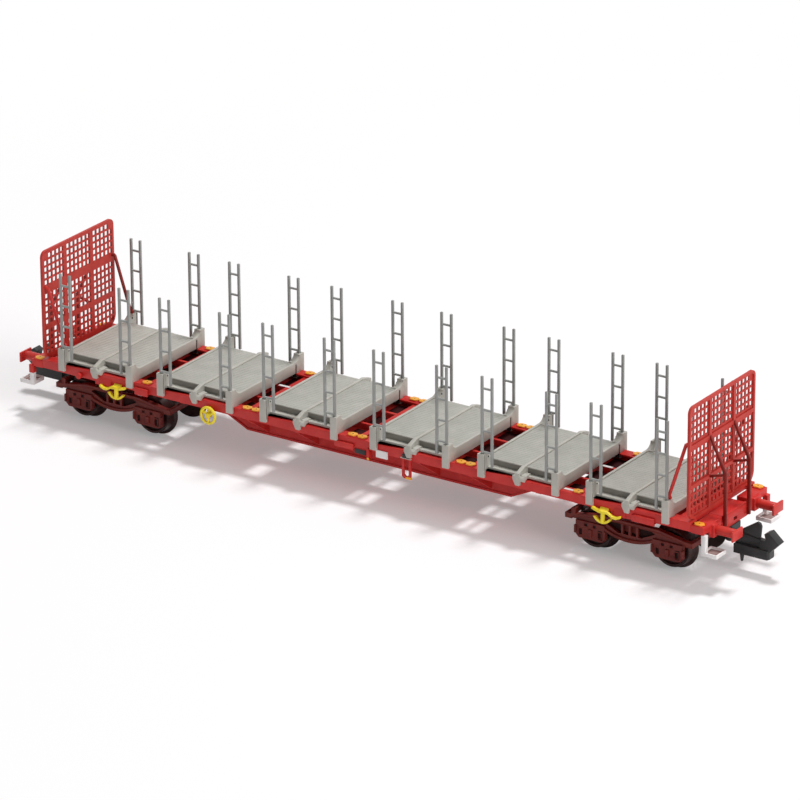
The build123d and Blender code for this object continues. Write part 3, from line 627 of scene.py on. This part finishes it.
@dataclass
class Trays(Assembly):
    """Six load trays: grooved decks, slotted sockets and ladder stakes.

    The first tray is modelled and then copied. Spans along Y reach outwards on either side.
    """

    middles: tuple[float, ...] = (-45.6, -27.73, -9.53, 9.53, 27.73, 45.6)
    bolster_spacing: float = 12.27
    bolster_width: float = 1.05
    rib_half: float = 0.2
    deck_top: float = 11.0
    deck_edge: float = 7.15
    edge: float = 0.06
    # the deck's boards: levels from the deck's top, rounding
    plank_pitch: float = 0.55
    plank_gap: float = 0.04
    plank_z: Span = (-0.05, 0.022)
    plank_edge: float = 0.02
    # slits in the sockets' inner faces, X into the socket
    slit: Box = ((0.8, -0.2), (8.82, 8.98), (9.0, 12.0))
    # slots in the sockets' ends under the deck, X from the bolster's middle
    slot: Box = ((-0.1, 0.7), (6.94, 7.24), (8.8, 10.85))
    # the slit in the mid rib's bracket
    bracket_slit: Box = ((0.05, 0.5), (8.62, 8.78), (9.3, 10.4))
    # the strips lowered to the deck over the bolsters and beside the rib
    rim: float = 0.36
    strip_lap: float = 0.1
    strip_half: float = 6.75
    rib_strip_x: float = 0.4
    rib_strip_half: float = 7.05
    strip_z: Span = (11.005, 11.4)
    # the deck's edge and the ledge, cut back clear of the rib and its bracket
    bracket_x: Span = (-0.85, 1.05)
    outside: float = 9.0
    edge_z: Span = (10.0, 11.3)
    ledge_outer: float = 8.0
    ledge_z: Span = (9.6, 10.5)
    # beside the rib, above the bracket's arm
    arm_x: tuple[Span, Span] = ((-0.9, -0.3), (0.3, 1.1))
    arm_end: float = 7.7
    arm_z: Span = (10.21, 11.3)
    # the hollow under the edge of the boards: distances from the rib's middle and the bolster
    undercut_x: Span = (0.45, 0.05)
    undercut_y: Span = (7.05, 7.3)
    undercut_z: Span = (10.02, 10.88)
    # linings, dark as painted shade: X into the slit, play across and upwards, distance inside
    # the socket's face
    slit_lining: Span = (0.06, 0.5)
    lining_play: Span = (0.01, 0.02)
    lining_inset: float = 0.06
    # the pin in each socket's inner face
    pin_x: Span = (0.1, -0.03)
    pin_y: float = 7.85
    pin_z: float = 11.5
    pin_radius: float = 0.13
    # the strip behind the undercut, dark as painted shade: distances from the rib's middle and
    # the bolster
    shade_x: Span = (0.3, 0.02)
    shade_y: Span = (6.9, 7.1)
    shade_z: Span = (9.72, 10.88)
    # grooves beside the end rims and the rib, dark as painted shade
    groove: float = 0.1
    groove_lap: float = 0.02
    groove_z: Span = (10.915, 11.015)

    @property
    def bay(self) -> float:
        """Distance from a tray's middle to the inner face of each bolster."""
        return (self.bolster_spacing - self.bolster_width) / 2

    def planks(self) -> Piece:
        """Models one tray's deck boards: a plank is repeated across each half.

        Returns:
            The boards, about the middle of the wagon.
        """
        count = round(2 * self.deck_edge / self.plank_pitch)
        pitch = 2 * self.deck_edge / count
        width = moved(shrunk((0, pitch), self.plank_gap / 2), -self.deck_edge)
        span = (
            self.rib_half + self.groove,
            self.bay + self.bolster_width - self.rim - self.groove,
        )
        halves = []
        for end in ENDS:
            plank = block(
                mirrored(span, end), width, moved(self.plank_z, self.deck_top), self.plank_edge
            )
            bpy.ops.object.modifier_add(type="ARRAY")
            row = plank.modifiers[-1]
            row.count = count
            row.use_relative_offset = False
            row.use_constant_offset = True
            row.constant_offset_displace = (0, pitch * MM, 0)
            bpy.ops.object.modifier_apply(modifier=row.name)
            halves.append(plank)
        return joined("deck_planks", halves)

    def cutters(self) -> list[Piece]:
        """Models the blocks that are cut out of the first tray.

        Returns:
            The blocks, some of which overlap.
        """
        middle = self.middles[0]
        places = []
        for end in ENDS:
            face = middle + end * self.bay
            bolster = middle + end * self.bolster_spacing / 2
            for side in SIDES:
                places.append(placed(self.slit, side, end, face))
                places.append(placed(self.slot, side, side, bolster))
            # the deck runs over the bolster up to a thin rim, and close to the rib
            over = mirrored((-self.strip_lap, self.bolster_width - self.rim), end, face)
            beside = mirrored((self.rib_half, self.rib_strip_x), end, middle)
            places.append((over, around(0, self.strip_half), self.strip_z))
            places.append((beside, around(0, self.rib_strip_half), self.strip_z))
        rib_gap, bolster_gap = self.undercut_x
        for side in SIDES:
            for x in ((-self.bay, self.bracket_x[0]), (self.bracket_x[1], self.bay)):
                for y, z in ((self.deck_edge, self.edge_z), (self.ledge_outer, self.ledge_z)):
                    places.append((moved(x, middle), mirrored((y, self.outside), side), z))
            arm_y = mirrored((self.deck_edge, self.arm_end), side)
            places += [(moved(x, middle), arm_y, self.arm_z) for x in self.arm_x]
            for end in ENDS:
                x = mirrored((rib_gap, self.bay - bolster_gap), end, middle)
                places.append((x, mirrored(self.undercut_y, side), self.undercut_z))
        places += [placed(self.bracket_slit, side, middle=middle) for side in SIDES]
        return [block(*place, 0) for place in places]

    def gap_shade_linings(self) -> Piece:
        """Models what is seen inside the first tray's slits: faces below the surface, dark as
        painted shade.

        Returns:
            The linings and the pins beside them.
        """
        parts = []
        across, upwards = self.lining_play
        for end in ENDS:
            bolster = self.middles[0] + end * self.bolster_spacing / 2
            face = self.middles[0] + end * self.bay
            for side in SIDES:
                slot = (0, self.bolster_width / 2 - self.lining_inset)
                for x, (_, y, z) in (
                    (mirrored(slot, side, bolster), self.slot),
                    (mirrored(self.slit_lining, end, face), self.slit),
                ):
                    y = mirrored(shrunk(y, across), side)
                    parts.append(block(x, y, shrunk(z, upwards), 0.01, 1))
                start, stop = [
                    (x, side * self.pin_y, self.pin_z)
                    for x in mirrored(self.pin_x, end, face)
                ]
                parts.append(rod(start, stop, self.pin_radius, 12, 0.02))
        return joined("tray_gap_linings_1", parts)

    def deck_edges(self) -> Piece:
        """Models the first tray's deck edges under the boards' lip, and its grooves, all dark as
        painted shade.

        Returns:
            The edges and grooves.
        """
        middle = self.middles[0]
        rib_gap, bolster_gap = self.shade_x
        behind = (rib_gap, self.bay - bolster_gap)
        parts = []
        for side in SIDES:
            shade_y = mirrored(self.shade_y, side)
            for end in ENDS:
                parts.append(block(mirrored(behind, end, middle), shade_y, self.shade_z, 0.02, 1))
        rim_x = self.bay + self.bolster_width - self.rim
        rim_groove = (rim_x - self.groove, rim_x + self.groove_lap)
        rib_groove = (self.rib_half - self.groove_lap, self.rib_half + self.groove)
        for span, half in ((rim_groove, self.strip_half), (rib_groove, self.rib_strip_half)):
            for end in ENDS:
                x = mirrored(span, end, middle)
                parts.append(block(x, around(0, half), self.groove_z, 0.005, 1))
        return joined("deck_edges_1", parts)

    def build(self) -> None:
        """Places the frames, decks, linings and stakes of all trays."""
        moulding = copy_node("tray_1", "tray_moulding_1")
        cut_out(moulding, self.cutters())
        soften(moulding, self.edge)
        deck = self.planks()
        linings = self.gap_shade_linings()
        edges = self.deck_edges()
        ladder = copy_node("stakes_1", "stakes_moulding_1")
        soften(ladder, self.edge)
        # a pattern, the name of its copies and where it stands along X
        first = self.middles[0]
        patterns = (
            (moulding, "tray_moulding", first), (ladder, "stakes_moulding", first),
            (deck, "deck_planks", 0), (linings, "tray_gap_linings", first),
            (edges, "deck_edges", first),
        )
        for number, x in enumerate(self.middles, 1):
            tray, stakes, boards, gaps, rims = [
                piece if x == start else again(piece, f"{name}_{number}", (x - start, 0, 0))
                for piece, name, start in patterns
            ]
            # painted shade: the dark linings in the slits; the pins take the same near black
            # finish
            self.settle(gaps, "tray_gap")
            # painted shade: the deck's edges under the lip and the grooves
            self.settle(rims, "deck_shade")
            self.settle(tray, "tray_grey")
            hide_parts(f"tray_{number}")
            self.settle(boards, "plank_grey")
            self.settle(stakes, "stake_grey", 40)
            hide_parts(f"stakes_{number}")
        bpy.data.objects.remove(deck)


@dataclass
class Bogies(Assembly):
    """Two bogies: cast side frames with raised rims, and two wheelsets in each."""

    middles: Span = (-44.375, 44.375)
    wheelbase: float = 12.5
    outer: float = 6.65
    face_top: float = 6.3
    face_play: float = 0.02
    rim: float = 0.13
    rim_depth: float = 0.11
    edge: float = 0.045
    # the plank behind the springs, almost black as painted shade
    painted_shade_backing: Box = ((-4.4, 4.4), (5.6, 5.84), (3.9, 5.9))
    # distance from the axle along X, middle height, width and height of each axlebox window
    windows: tuple[tuple[float, float, float, float], ...] = (
        (-1.6, 3.05, 0.6, 1.1), (1.6, 3.05, 0.7, 1.4),
        (-0.72, 4.2, 0.62, 0.55), (0.72, 4.2, 0.62, 0.55),
    )
    window_y: Span = (6.34, 6.56)
    # the guide at one end of each axlebox, and the cap over it, X from the axle
    guide: Box = ((2.24, 2.56), (6.15, 6.81), (2.7, 3.9))
    cap: Box = ((-0.3, 0.3), (6.25, 6.75), (2.55, 3.6))
    guide_edge: float = 0.07
    axle_z: float = 3.475
    spin_steps: int = 72
    # distance from the middle of the axle, radius
    wheel_profile: tuple[Span, ...] = (
        (0.0, 0.75), (3.55, 0.75), (3.62, 1.15), (3.7, 1.2), (3.72, 2.7), (3.7, 2.85),
        (3.7, 3.38), (3.76, 3.46), (3.86, 3.475), (3.95, 3.44), (4.06, 3.2), (4.14, 3.02),
        (4.24, 2.96), (5.44, 2.875), (5.5, 2.83), (5.5, 2.5), (5.44, 2.45), (5.16, 2.38),
        (5.08, 2.3), (5.08, 1.35), (5.16, 1.25), (5.42, 1.15), (5.48, 1.08), (5.5, 0.5),
        (5.56, 0.35), (6.33, 0.35), (6.35, 0.3), (6.35, 0.0),
    )

    def casting(self, body: str) -> None:
        """Remakes one bogie with a raised rim round each outer face.

        Args:
            body: the bogie's name.
        """
        piece = copy_node(body, f"{body}_casting")
        for side in SIDES:
            pick_faces(
                piece,
                lambda centre, normal: normal.y * side > 0.95
                and centre.y * side > self.outer - self.face_play
                and centre.z < self.face_top,
            )
            with editing():
                bpy.ops.mesh.inset(thickness=self.rim * MM, depth=-self.rim_depth * MM)
        soften(piece, self.edge)
        self.settle(piece, "bogie_brown", body=body)
        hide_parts(body)

    def fittings(self, body: str, middle: float) -> None:
        """Models one bogie's backs and axlebox window blocks, almost black as painted shade, and
        the guides and caps of its axleboxes.

        Args:
            body: the bogie's name.
            middle: its middle along X.
        """
        # painted shade: an almost black plank behind the springs and a block in each axlebox
        # window
        backs = [block(*placed(self.painted_shade_backing, side, middle=middle)) for side in SIDES]
        guides = []
        for axle in ENDS:
            x = middle + axle * self.wheelbase / 2
            for side in SIDES:
                for dx, z, width, height in self.windows:
                    window = (around(dx, width / 2), self.window_y, around(z, height / 2))
                    backs.append(block(*placed(window, side, middle=x), 0.02, 1))
                for box, end in ((self.guide, -1), (self.guide, 1), (self.cap, 1)):
                    guides.append(block(*placed(box, side, end, x), self.guide_edge))
        self.settle(joined(f"{body}_painted_shade_backs", backs), "spring_shadow", body=body)
        self.settle(joined(f"{body}_axlebox_guides", guides), "bogie_brown", body=body)

    def wheelset(self) -> Piece:
        """Spins one axle with its two wheels about the middle of the frame.

        Returns:
            The wheelset, its faces outwards.
        """
        points = [(-y, r) for y, r in reversed(self.wheel_profile)]
        points += self.wheel_profile[1:]
        bpy.ops.object.select_all(action="DESELECT")
        bpy.ops.mesh.primitive_circle_add(vertices=len(points), radius=MM, fill_type="NOTHING")
        piece = bpy.context.view_layer.objects.active
        for vertex, (y, r) in zip(piece.data.vertices, points):
            vertex.co = Vector((0, y, self.axle_z + r)) * MM
        with editing():
            bpy.ops.mesh.select_mode(type="EDGE")
            bpy.ops.mesh.select_all(action="DESELECT")
        # the edge that closed the circle would be a wall along the axle
        last = len(points) - 1
        for edge in piece.data.edges:
            edge.select = set(edge.vertices) == {0, last}
        centre = (0, 0, self.axle_z * MM)
        with editing():
            bpy.ops.mesh.delete(type="EDGE")
            bpy.ops.mesh.select_mode(type="VERT")
            bpy.ops.mesh.select_all(action="SELECT")
            bpy.ops.mesh.spin(steps=self.spin_steps, angle=2 * pi, center=centre, axis=(0, 1, 0))
            bpy.ops.mesh.select_all(action="SELECT")
            bpy.ops.mesh.remove_doubles(threshold=DOUBLES_MM * MM)
            bpy.ops.mesh.normals_make_consistent(inside=False)
        return piece

    def build(self) -> None:
        """Builds both bogies and their four wheelsets."""
        pattern = self.wheelset()
        number = 0
        for body, middle in zip(("bogie_left", "bogie_right"), self.middles):
            self.casting(body)
            self.fittings(body, middle)
            for axle in ENDS:
                number += 1
                x = middle + axle * self.wheelbase / 2
                pair = again(pattern, f"wheels_and_axle_{number}", (x, 0, 0))
                self.settle(pair, "wheel_black", 28, f"wheelset_{number}")
                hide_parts(f"wheelset_{number}")
        bpy.data.objects.remove(pattern)


@dataclass
class Couplers(Assembly):
    """The hook coupler at each end, swinging in its pocket."""

    edge: float = 0.14
    edge_steps: int = 3
    sharper_than: float = 24

    def build(self) -> None:
        """Rounds the moulded hooks."""
        for end in ("left", "right"):
            hook = copy_node(f"coupler_{end}", f"coupler_{end}_moulding")
            soften(hook, self.edge, self.edge_steps, self.sharper_than)
            self.settle(hook, "coupler_black", 40, f"coupler_{end}")
            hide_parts(f"coupler_{end}")


@dataclass
class Buffers(Assembly):
    """A round shank and a domed rectangular head at each corner."""

    spacing: float = 11.0
    height: float = 7.95
    base_x: float = 58.0
    face_x: float = 61.3
    head_width: float = 2.7
    head_height: float = 1.55
    head_thickness: float = 0.35
    head_edge: float = 0.13
    shank_radius: float = 0.68
    shank_lap: float = 0.05

    def build(self) -> None:
        """Models the right pair and turns a copy to the left end."""
        parts = []
        back = self.face_x - self.head_thickness
        for side in SIDES:
            y = side * self.spacing / 2
            head_y = around(y, self.head_width / 2)
            head_z = around(self.height, self.head_height / 2)
            parts.append(block((back, self.face_x), head_y, head_z, self.head_edge, 3))
            start, end = [(x, y, self.height) for x in (self.base_x, back + self.shank_lap)]
            parts.append(rod(start, end, self.shank_radius, 32, 0.04))
        pair = joined("buffer_pair_right", parts)
        twin = self.settle_pair(pair, "buffer_pair_left", "buffer_red", 36)
        for piece, node in ((pair, "buffers_right"), (twin, "buffers_left")):
            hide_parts(node)


@dataclass
class Handwheels(Assembly):
    """The spoked handbrake wheel on each side."""

    x: float = -25.3
    z: float = 7.5
    radius: float = 1.42
    rim: float = 0.21
    rim_y: float = -9.15
    rim_steps: tuple[int, int] = (48, 12)
    spokes: int = 3
    first_spoke: float = 30
    spoke_radius: float = 0.19
    spoke_lap: float = 0.05
    hub_radius: float = 0.4
    hub_y: Span = (-9.39, -8.6)
    # the bracket behind the hub
    bracket_half: float = 0.3
    bracket_y: Span = (-8.65, -9.0)
    bracket_top: float = 8.75

    def build(self) -> None:
        """Models the near wheel and turns a copy to the far side."""
        x, y, z = self.x, self.rim_y, self.z
        reach = self.radius - self.rim
        bpy.ops.object.select_all(action="DESELECT")
        bpy.ops.mesh.primitive_torus_add(
            location=(x * MM, y * MM, z * MM),
            rotation=(pi / 2, 0, 0),
            major_radius=reach * MM,
            minor_radius=self.rim * MM,
            major_segments=self.rim_steps[0],
            minor_segments=self.rim_steps[1],
        )
        parts = [applied()]
        for spoke in range(self.spokes):
            angle = radians(self.first_spoke + 360 / self.spokes * spoke)
            end = (x + reach * cos(angle), y, z + reach * sin(angle))
            parts.append(rod((x, y + self.spoke_lap, z), end, self.spoke_radius, 12, 0.03))
        front, back = [(x, hub, z) for hub in self.hub_y]
        parts.append(rod(front, back, self.hub_radius, 20, 0.06))
        bracket_z = (z - self.bracket_half, self.bracket_top)
        parts.append(block(around(x, self.bracket_half), self.bracket_y, bracket_z, 0.06))
        near = joined("handwheel_near", parts)
        far = self.settle_pair(near, "handwheel_far", "brake_yellow", 40)
        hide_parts("handwheels")
        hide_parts("handwheels")


@dataclass
class Stays(Assembly):
    """The slim side stays between each bulkhead and the end sockets."""

    foot: Span = (51.735, 12.25)
    knee: Span = (54.45, 20.75)
    head: Span = (55.0, 20.75)
    y: Span = (8.02, 8.36)
    width: float = 0.5
    pad_radius: float = 0.46

    def build(self) -> None:
        """Models the right end's near and far stay and turns copies to the left end."""
        for side, name, other in ((NEAR, "near", "far"), (FAR, "far", "near")):
            middle = side * (self.y[0] + self.y[1]) / 2
            foot, knee, head = [(x, middle, z) for x, z in (self.foot, self.knee, self.head)]
            inner, outer = [(self.foot[0], side * y, self.foot[1]) for y in self.y]
            parts = [
                rod(foot, knee, self.width / 2, 12, 0.04),
                rod(knee, head, self.width / 2, 12, 0.04),
                rod(inner, outer, self.pad_radius, 24, 0.06),
            ]
            right = joined(f"bulkhead_stay_right_{name}", parts)
            left = again(right, f"bulkhead_stay_left_{other}", turned=True)
            # painted shade: the far stays take the dark red and the near ones the frame's red,
            # though all are one plastic
            for piece, place in ((right, name), (left, other)):
                self.settle(piece, "frame_red" if place == "near" else "dark_red", 40)
            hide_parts("bulkhead_stays_right")
            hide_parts("bulkhead_stays_left")


@dataclass
class Underframe(Assembly):
    """The girder frame, with near black floors between the trays as painted shade."""

    # middle of each gap between trays, middle of its cross beam
    gaps: tuple[Span, ...] = (
        (-36.67, -37.0), (-18.63, -19.2), (0.0, 0.0), (18.63, 19.2), (36.67, 37.0),
    )
    gap_half: float = 3.3
    beam_half: float = 0.46
    edge: float = 0.05
    # openings in the floor pans, X from the gap's middle
    hole_x: Span = (-1.2, 2.4)
    hole_y: Span = (3.3, 7.2)
    hole_z: Span = (7.9, 8.4)
    narrowest: float = 0.3
    # near, middle and far bays across the frame
    bays: tuple[Span, ...] = ((-7.55, -3.05), (-2.3, 2.3), (3.05, 7.55))
    floor_z: Span = (8.2, 8.3)

    def build(self) -> None:
        """Opens the floor pans beside the cross beams and lays near black floors as painted
        shade.
        """
        piece = copy_node("underframe", "underframe_girders")
        holes, floors = [], []
        for gap, beam in self.gaps:
            hole_start, hole_end = moved(self.hole_x, gap)
            beam_start, beam_end = around(beam, self.beam_half)
            for x in ((hole_start, beam_start), (beam_end, hole_end)):
                if x[1] - x[0] > self.narrowest:
                    for side in SIDES:
                        holes.append(block(x, mirrored(self.hole_y, side), self.hole_z, 0))
        cut_out(piece, holes)
        soften(piece, self.edge)
        self.settle(piece, "frame_red")
        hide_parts("underframe")
        # painted shade: a near black floor in each bay of each gap between the trays
        for gap, _ in self.gaps:
            x = (gap - self.gap_half, gap + self.hole_x[0])
            floors += [block(x, y, self.floor_z, 0.02, 1) for y in self.bays]
        self.settle(joined("underframe_painted_shade_floors", floors), "recess_dark")


@dataclass
class EndDecks(Assembly):
    """The raised lip on each end platform."""

    lip: Box = ((57.25, 57.6), (-3.05, 3.05), (8.75, 8.97))

    def build(self) -> None:
        """Models the right end and turns a copy to the left."""
        lip = joined("platform_lip_right", [block(*self.lip)])
        self.settle_pair(lip, "platform_lip_left", "frame_red")


@dataclass
class ContainerPads(Assembly):
    """Orange lozenge pads on raised seats, each with a black disc as painted shade in its pin
    hole.
    """

    # distance from the middle along X, level of the frame, level of the pad's top
    places: tuple[Point, ...] = (
        (56.55, 9.15, 9.43), (37.0, 9.5, 9.78), (19.15, 9.5, 9.78), (17.6, 9.5, 9.78),
        (0.8, 9.5, 9.78),
    )
    y: float = 7.9
    half_length: float = 0.86
    half_width: float = 0.56
    pad_rise: float = 0.08
    pad_edge: float = 0.07
    seat_half_length: float = 0.75
    seat_half_width: float = 0.6
    # levels of the seat from the frame, and of the hole from the pad's top
    seat_z: Span = (-0.03, 0.1)
    hole_z: Span = (-0.1, 0.012)
    hole_radius: float = 0.11

    def lozenge(self, x: float, y: float, low: float, high: float) -> Piece:
        """Models one pad: a long six-sided plate with soft edges.

        Args:
            x: its middle along X.
            y: its middle along Y.
            low: its underside.
            high: its top.

        Returns:
            The pad.
        """
        bpy.ops.object.select_all(action="DESELECT")
        bpy.ops.mesh.primitive_cylinder_add(
            vertices=6,
            radius=1,
            depth=1,
            location=(x * MM, y * MM, (low + high) / 2 * MM),
            rotation=(0, 0, pi / 2),
            scale=(self.half_width / cos(pi / 6) * MM, self.half_length * MM, (high - low) * MM),
        )
        pad = applied()
        break_edges(pad, self.pad_edge)
        return pad

    def build(self) -> None:
        """Models every pad, seat and hole, joined by their finish."""
        pads, seats, holes = [], [], []
        for along, level, top in self.places:
            for x, y in [(end * along, side * self.y) for end in ENDS for side in SIDES]:
                pads.append(self.lozenge(x, y, level + self.pad_rise, top))
                seat_x = around(x, self.seat_half_length)
                seat_y = around(y, self.seat_half_width)
                seats.append(block(seat_x, seat_y, moved(self.seat_z, level), 0.04))
                # painted shade: a black disc flush with the pad's top where its pin hole is
                low, high = [(x, y, z) for z in moved(self.hole_z, top)]
                holes.append(rod(low, high, self.hole_radius, 12, 0.01))
        plates = joined("container_pad_plates", pads)
        self.settle(plates, "pad_orange")
        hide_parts("container_pads")
        self.settle(joined("pad_seats", seats), "frame_red")
        self.settle(joined("pad_pin_holes_painted_shade", holes), "coupler_black")


@dataclass
class StepTreads(Assembly):
    """The darker tread in each shunter's step, and the red hangers of the straps."""

    grip: Box = ((57.5, 59.6), (6.3, 8.5), (5.2, 5.29))
    # the red bracket that laps the strap's upper half, at one corner of each end
    hanger: Box = ((57.25, 58.05), (7.95, 8.75), (6.95, 8.2))

    def build(self) -> None:
        """Models the right grips and the far hanger, and turns copies to the left end."""
        grips = [block(*placed(self.grip, side), 0.03) for side in SIDES]
        self.settle_pair(joined("step_grip_right", grips), "step_grip_left", "step_grip")
        hanger = joined("step_hanger_far", [block(*self.hanger, 0.04)])
        self.settle_pair(hanger, "step_hanger_near", "frame_red")


@dataclass
class SolebarFittings(Assembly):
    """Small fittings along both solebars."""

    face: float = 8.65
    lap: float = 0.02
    # x span, z span and projection on the near side, finish
    near_fittings: tuple[tuple[Span, Span, float, str], ...] = (
        ((0.0, 1.9), (7.3, 8.0), 0.12, "coupler_black"),
        ((8.25, 9.6), (8.5, 9.07), 0.3, "coupler_black"),
        ((2.2, 2.6), (6.8, 7.15), 0.32, "pad_orange"),
        ((8.85, 9.72), (5.36, 5.72), 0.32, "pad_orange"),
        ((7.95, 9.75), (8.42, 8.55), 0.34, "tray_grey"),
    )

    def build(self) -> None:
        """Models the near side's fittings and turns copies to the far side."""
        for number, (x, z, reach, finish) in enumerate(self.near_fittings, 1):
            fitting = block(x, (self.lap - self.face, -self.face - reach), z, 0.04)
            near = joined(f"solebar_fitting_near_{number}", [fitting])
            self.settle_pair(near, f"solebar_fitting_far_{number}", finish)


@dataclass
class PhotoCamera:
    """The camera that stands where the photograph was taken."""

    azimuth: float = 33.974
    elevation: float = 22.232
    roll: float = -0.408
    distance_mm: float = 804.286
    side_mm: float = 1.5915
    up_mm: float = 4.477
    aim_mm: Point = (0.0, 0.0, 7.55)
    lens_mm: float = 252.67
    sensor_mm: float = 36.0
    # clipping distances in metres
    clip: Span = (0.01, 20)

    def place(self) -> None:
        """Adds the camera and makes it the scene's own."""
        a, e, r = radians(self.azimuth), radians(self.elevation), radians(self.roll)
        right = Vector((cos(a), sin(a), 0))
        back = Vector((sin(a) * cos(e), -cos(a) * cos(e), sin(e)))
        up = back.cross(right)
        right, up = right * cos(r) + up * sin(r), up * cos(r) - right * sin(r)
        spot = Vector(self.aim_mm) + right * self.side_mm + up * self.up_mm
        spot += back * self.distance_mm
        turn = Matrix((right, up, back)).transposed().to_4x4()
        data = bpy.data.cameras.new("photo camera")
        data.sensor_width = self.sensor_mm
        data.lens = self.lens_mm
        data.clip_start, data.clip_end = self.clip
        camera = bpy.data.objects.new("photo camera", data)
        camera.matrix_world = Matrix.Translation(spot * MM) @ turn
        bpy.context.scene.collection.objects.link(camera)
        bpy.context.scene.camera = camera


@dataclass
class Softbox:
    """One square white studio lamp."""

    name: str
    place_mm: Point
    size_mm: float
    watts: float

    def hang(self) -> None:
        """Hangs the lamp, turned to the wagon."""
        data = bpy.data.lights.new(self.name, "AREA")
        data.shape = "SQUARE"
        data.size = self.size_mm * MM
        data.energy = self.watts
        lamp = bpy.data.objects.new(self.name, data)
        spot = Vector(self.place_mm) * MM
        lamp.location = spot
        lamp.rotation_euler = (-spot).to_track_quat("-Z", "Y").to_euler()
        bpy.context.scene.collection.objects.link(lamp)


@dataclass
class Studio:
    """A white table top under soft lamps."""

    lamps: tuple[Softbox, ...] = (
        Softbox("key softbox", (25, 375, 1500), 250, 15.6),
        Softbox("side softbox", (1240, -230, 640), 800, 10.5),
    )
    table_mm: float = 6000.0
    table_colour: str = "FDFBFC"
    # the table glows to the camera: distances from its middle, share of the glow at each
    glow_mm: Span = (75, 180)
    glow_share: Span = (0.25, 1.0)
    room_colour: str = "FFFCFD"
    room_strength: float = 0.2

    def table_finish(self) -> bpy.types.Material:
        """Mixes a white matt card that takes soft shadows and reads as white further off.

        Returns:
            The material.
        """
        material = bpy.data.materials.new("white matt card")
        tree = blank_tree(material)
        path = add_node(tree, "LightPath")
        card = add_node(tree, "BsdfDiffuse", {"Color": linear(self.table_colour)})
        glow = add_node(tree, "Emission", {"Color": linear("FFFFFF"), "Strength": 1.0})
        place = add_node(tree, "TexCoord").outputs["Object"]
        reach = add_node(tree, "VectorMath", {"operation": "LENGTH"}, {0: place})
        far_off = add_node(
            tree, "MapRange",
            {
                "From Min": self.glow_mm[0] * MM,
                "From Max": self.glow_mm[1] * MM,
                "To Min": self.glow_share[0],
                "To Max": self.glow_share[1],
            },
            {"Value": reach.outputs["Value"]},
        )
        share = add_node(
            tree, "Math", {"operation": "MULTIPLY"},
            {0: path.outputs["Is Camera Ray"], 1: far_off},
        )
        mix = add_node(tree, "MixShader", links={"Fac": share, 1: card, 2: glow})
        add_node(tree, "OutputMaterial", links={"Surface": mix})
        return material

    def set_room(self) -> None:
        """Sets the world: a dim room that the camera and the reflections see as white."""
        world = bpy.data.worlds.new("studio")
        tree = blank_tree(world)
        path = add_node(tree, "LightPath")
        room, seen = [
            add_node(tree, "Background", {"Color": linear(colour), "Strength": strength})
            for colour, strength in ((self.room_colour, self.room_strength), ("FFFFFF", 1.0))
        ]
        reflected = add_node(
            tree, "Math", {"operation": "MAXIMUM"},
            {0: path.outputs["Is Glossy Ray"], 1: path.outputs["Is Transmission Ray"]},
        )
        visible = add_node(
            tree, "Math", {"operation": "MAXIMUM"},
            {0: path.outputs["Is Camera Ray"], 1: reflected},
        )
        mix = add_node(tree, "MixShader", links={"Fac": visible, 1: room, 2: seen})
        add_node(tree, "OutputWorld", links={"Surface": mix})
        bpy.context.scene.world = world

    def build(self) -> None:
        """Lays the table, sets the room and hangs the lamps."""
        bpy.ops.object.select_all(action="DESELECT")
        bpy.ops.mesh.primitive_plane_add(size=self.table_mm * MM, location=(0, 0, 0))
        table = bpy.context.view_layer.objects.active
        table.name = "table_top"
        table.data.materials.append(self.table_finish())
        self.set_room()
        for lamp in self.lamps:
            lamp.hang()
        bpy.context.scene.view_settings.view_transform = "Standard"


def dress_nodes(paint: Paintbox) -> None:
    """Gives every node of the frame its finish.

    Args:
        paint: the finishes.
    """
    slots = {part["node"]: part["material_slot"] for part in frame["record"]["subparts"]}
    for name, node in frame["nodes"].items():
        node.data.materials.clear()
        node.data.materials.append(paint.get(slots[name]))


def main() -> None:
    """Dresses the wagon and sets the studio and the camera."""
    logging.basicConfig(level=logging.INFO, format="%(message)s")
    paint = Paintbox()
    dress_nodes(paint)
    for assembly in (
        Mouldings, Trays, Bogies, Couplers, Buffers, Handwheels,
        Stays, Underframe, EndDecks, ContainerPads, StepTreads, SolebarFittings,
    ):
        assembly(paint).build()
    Studio().build()
    PhotoCamera().place()


if __name__ == "__main__":
    main()
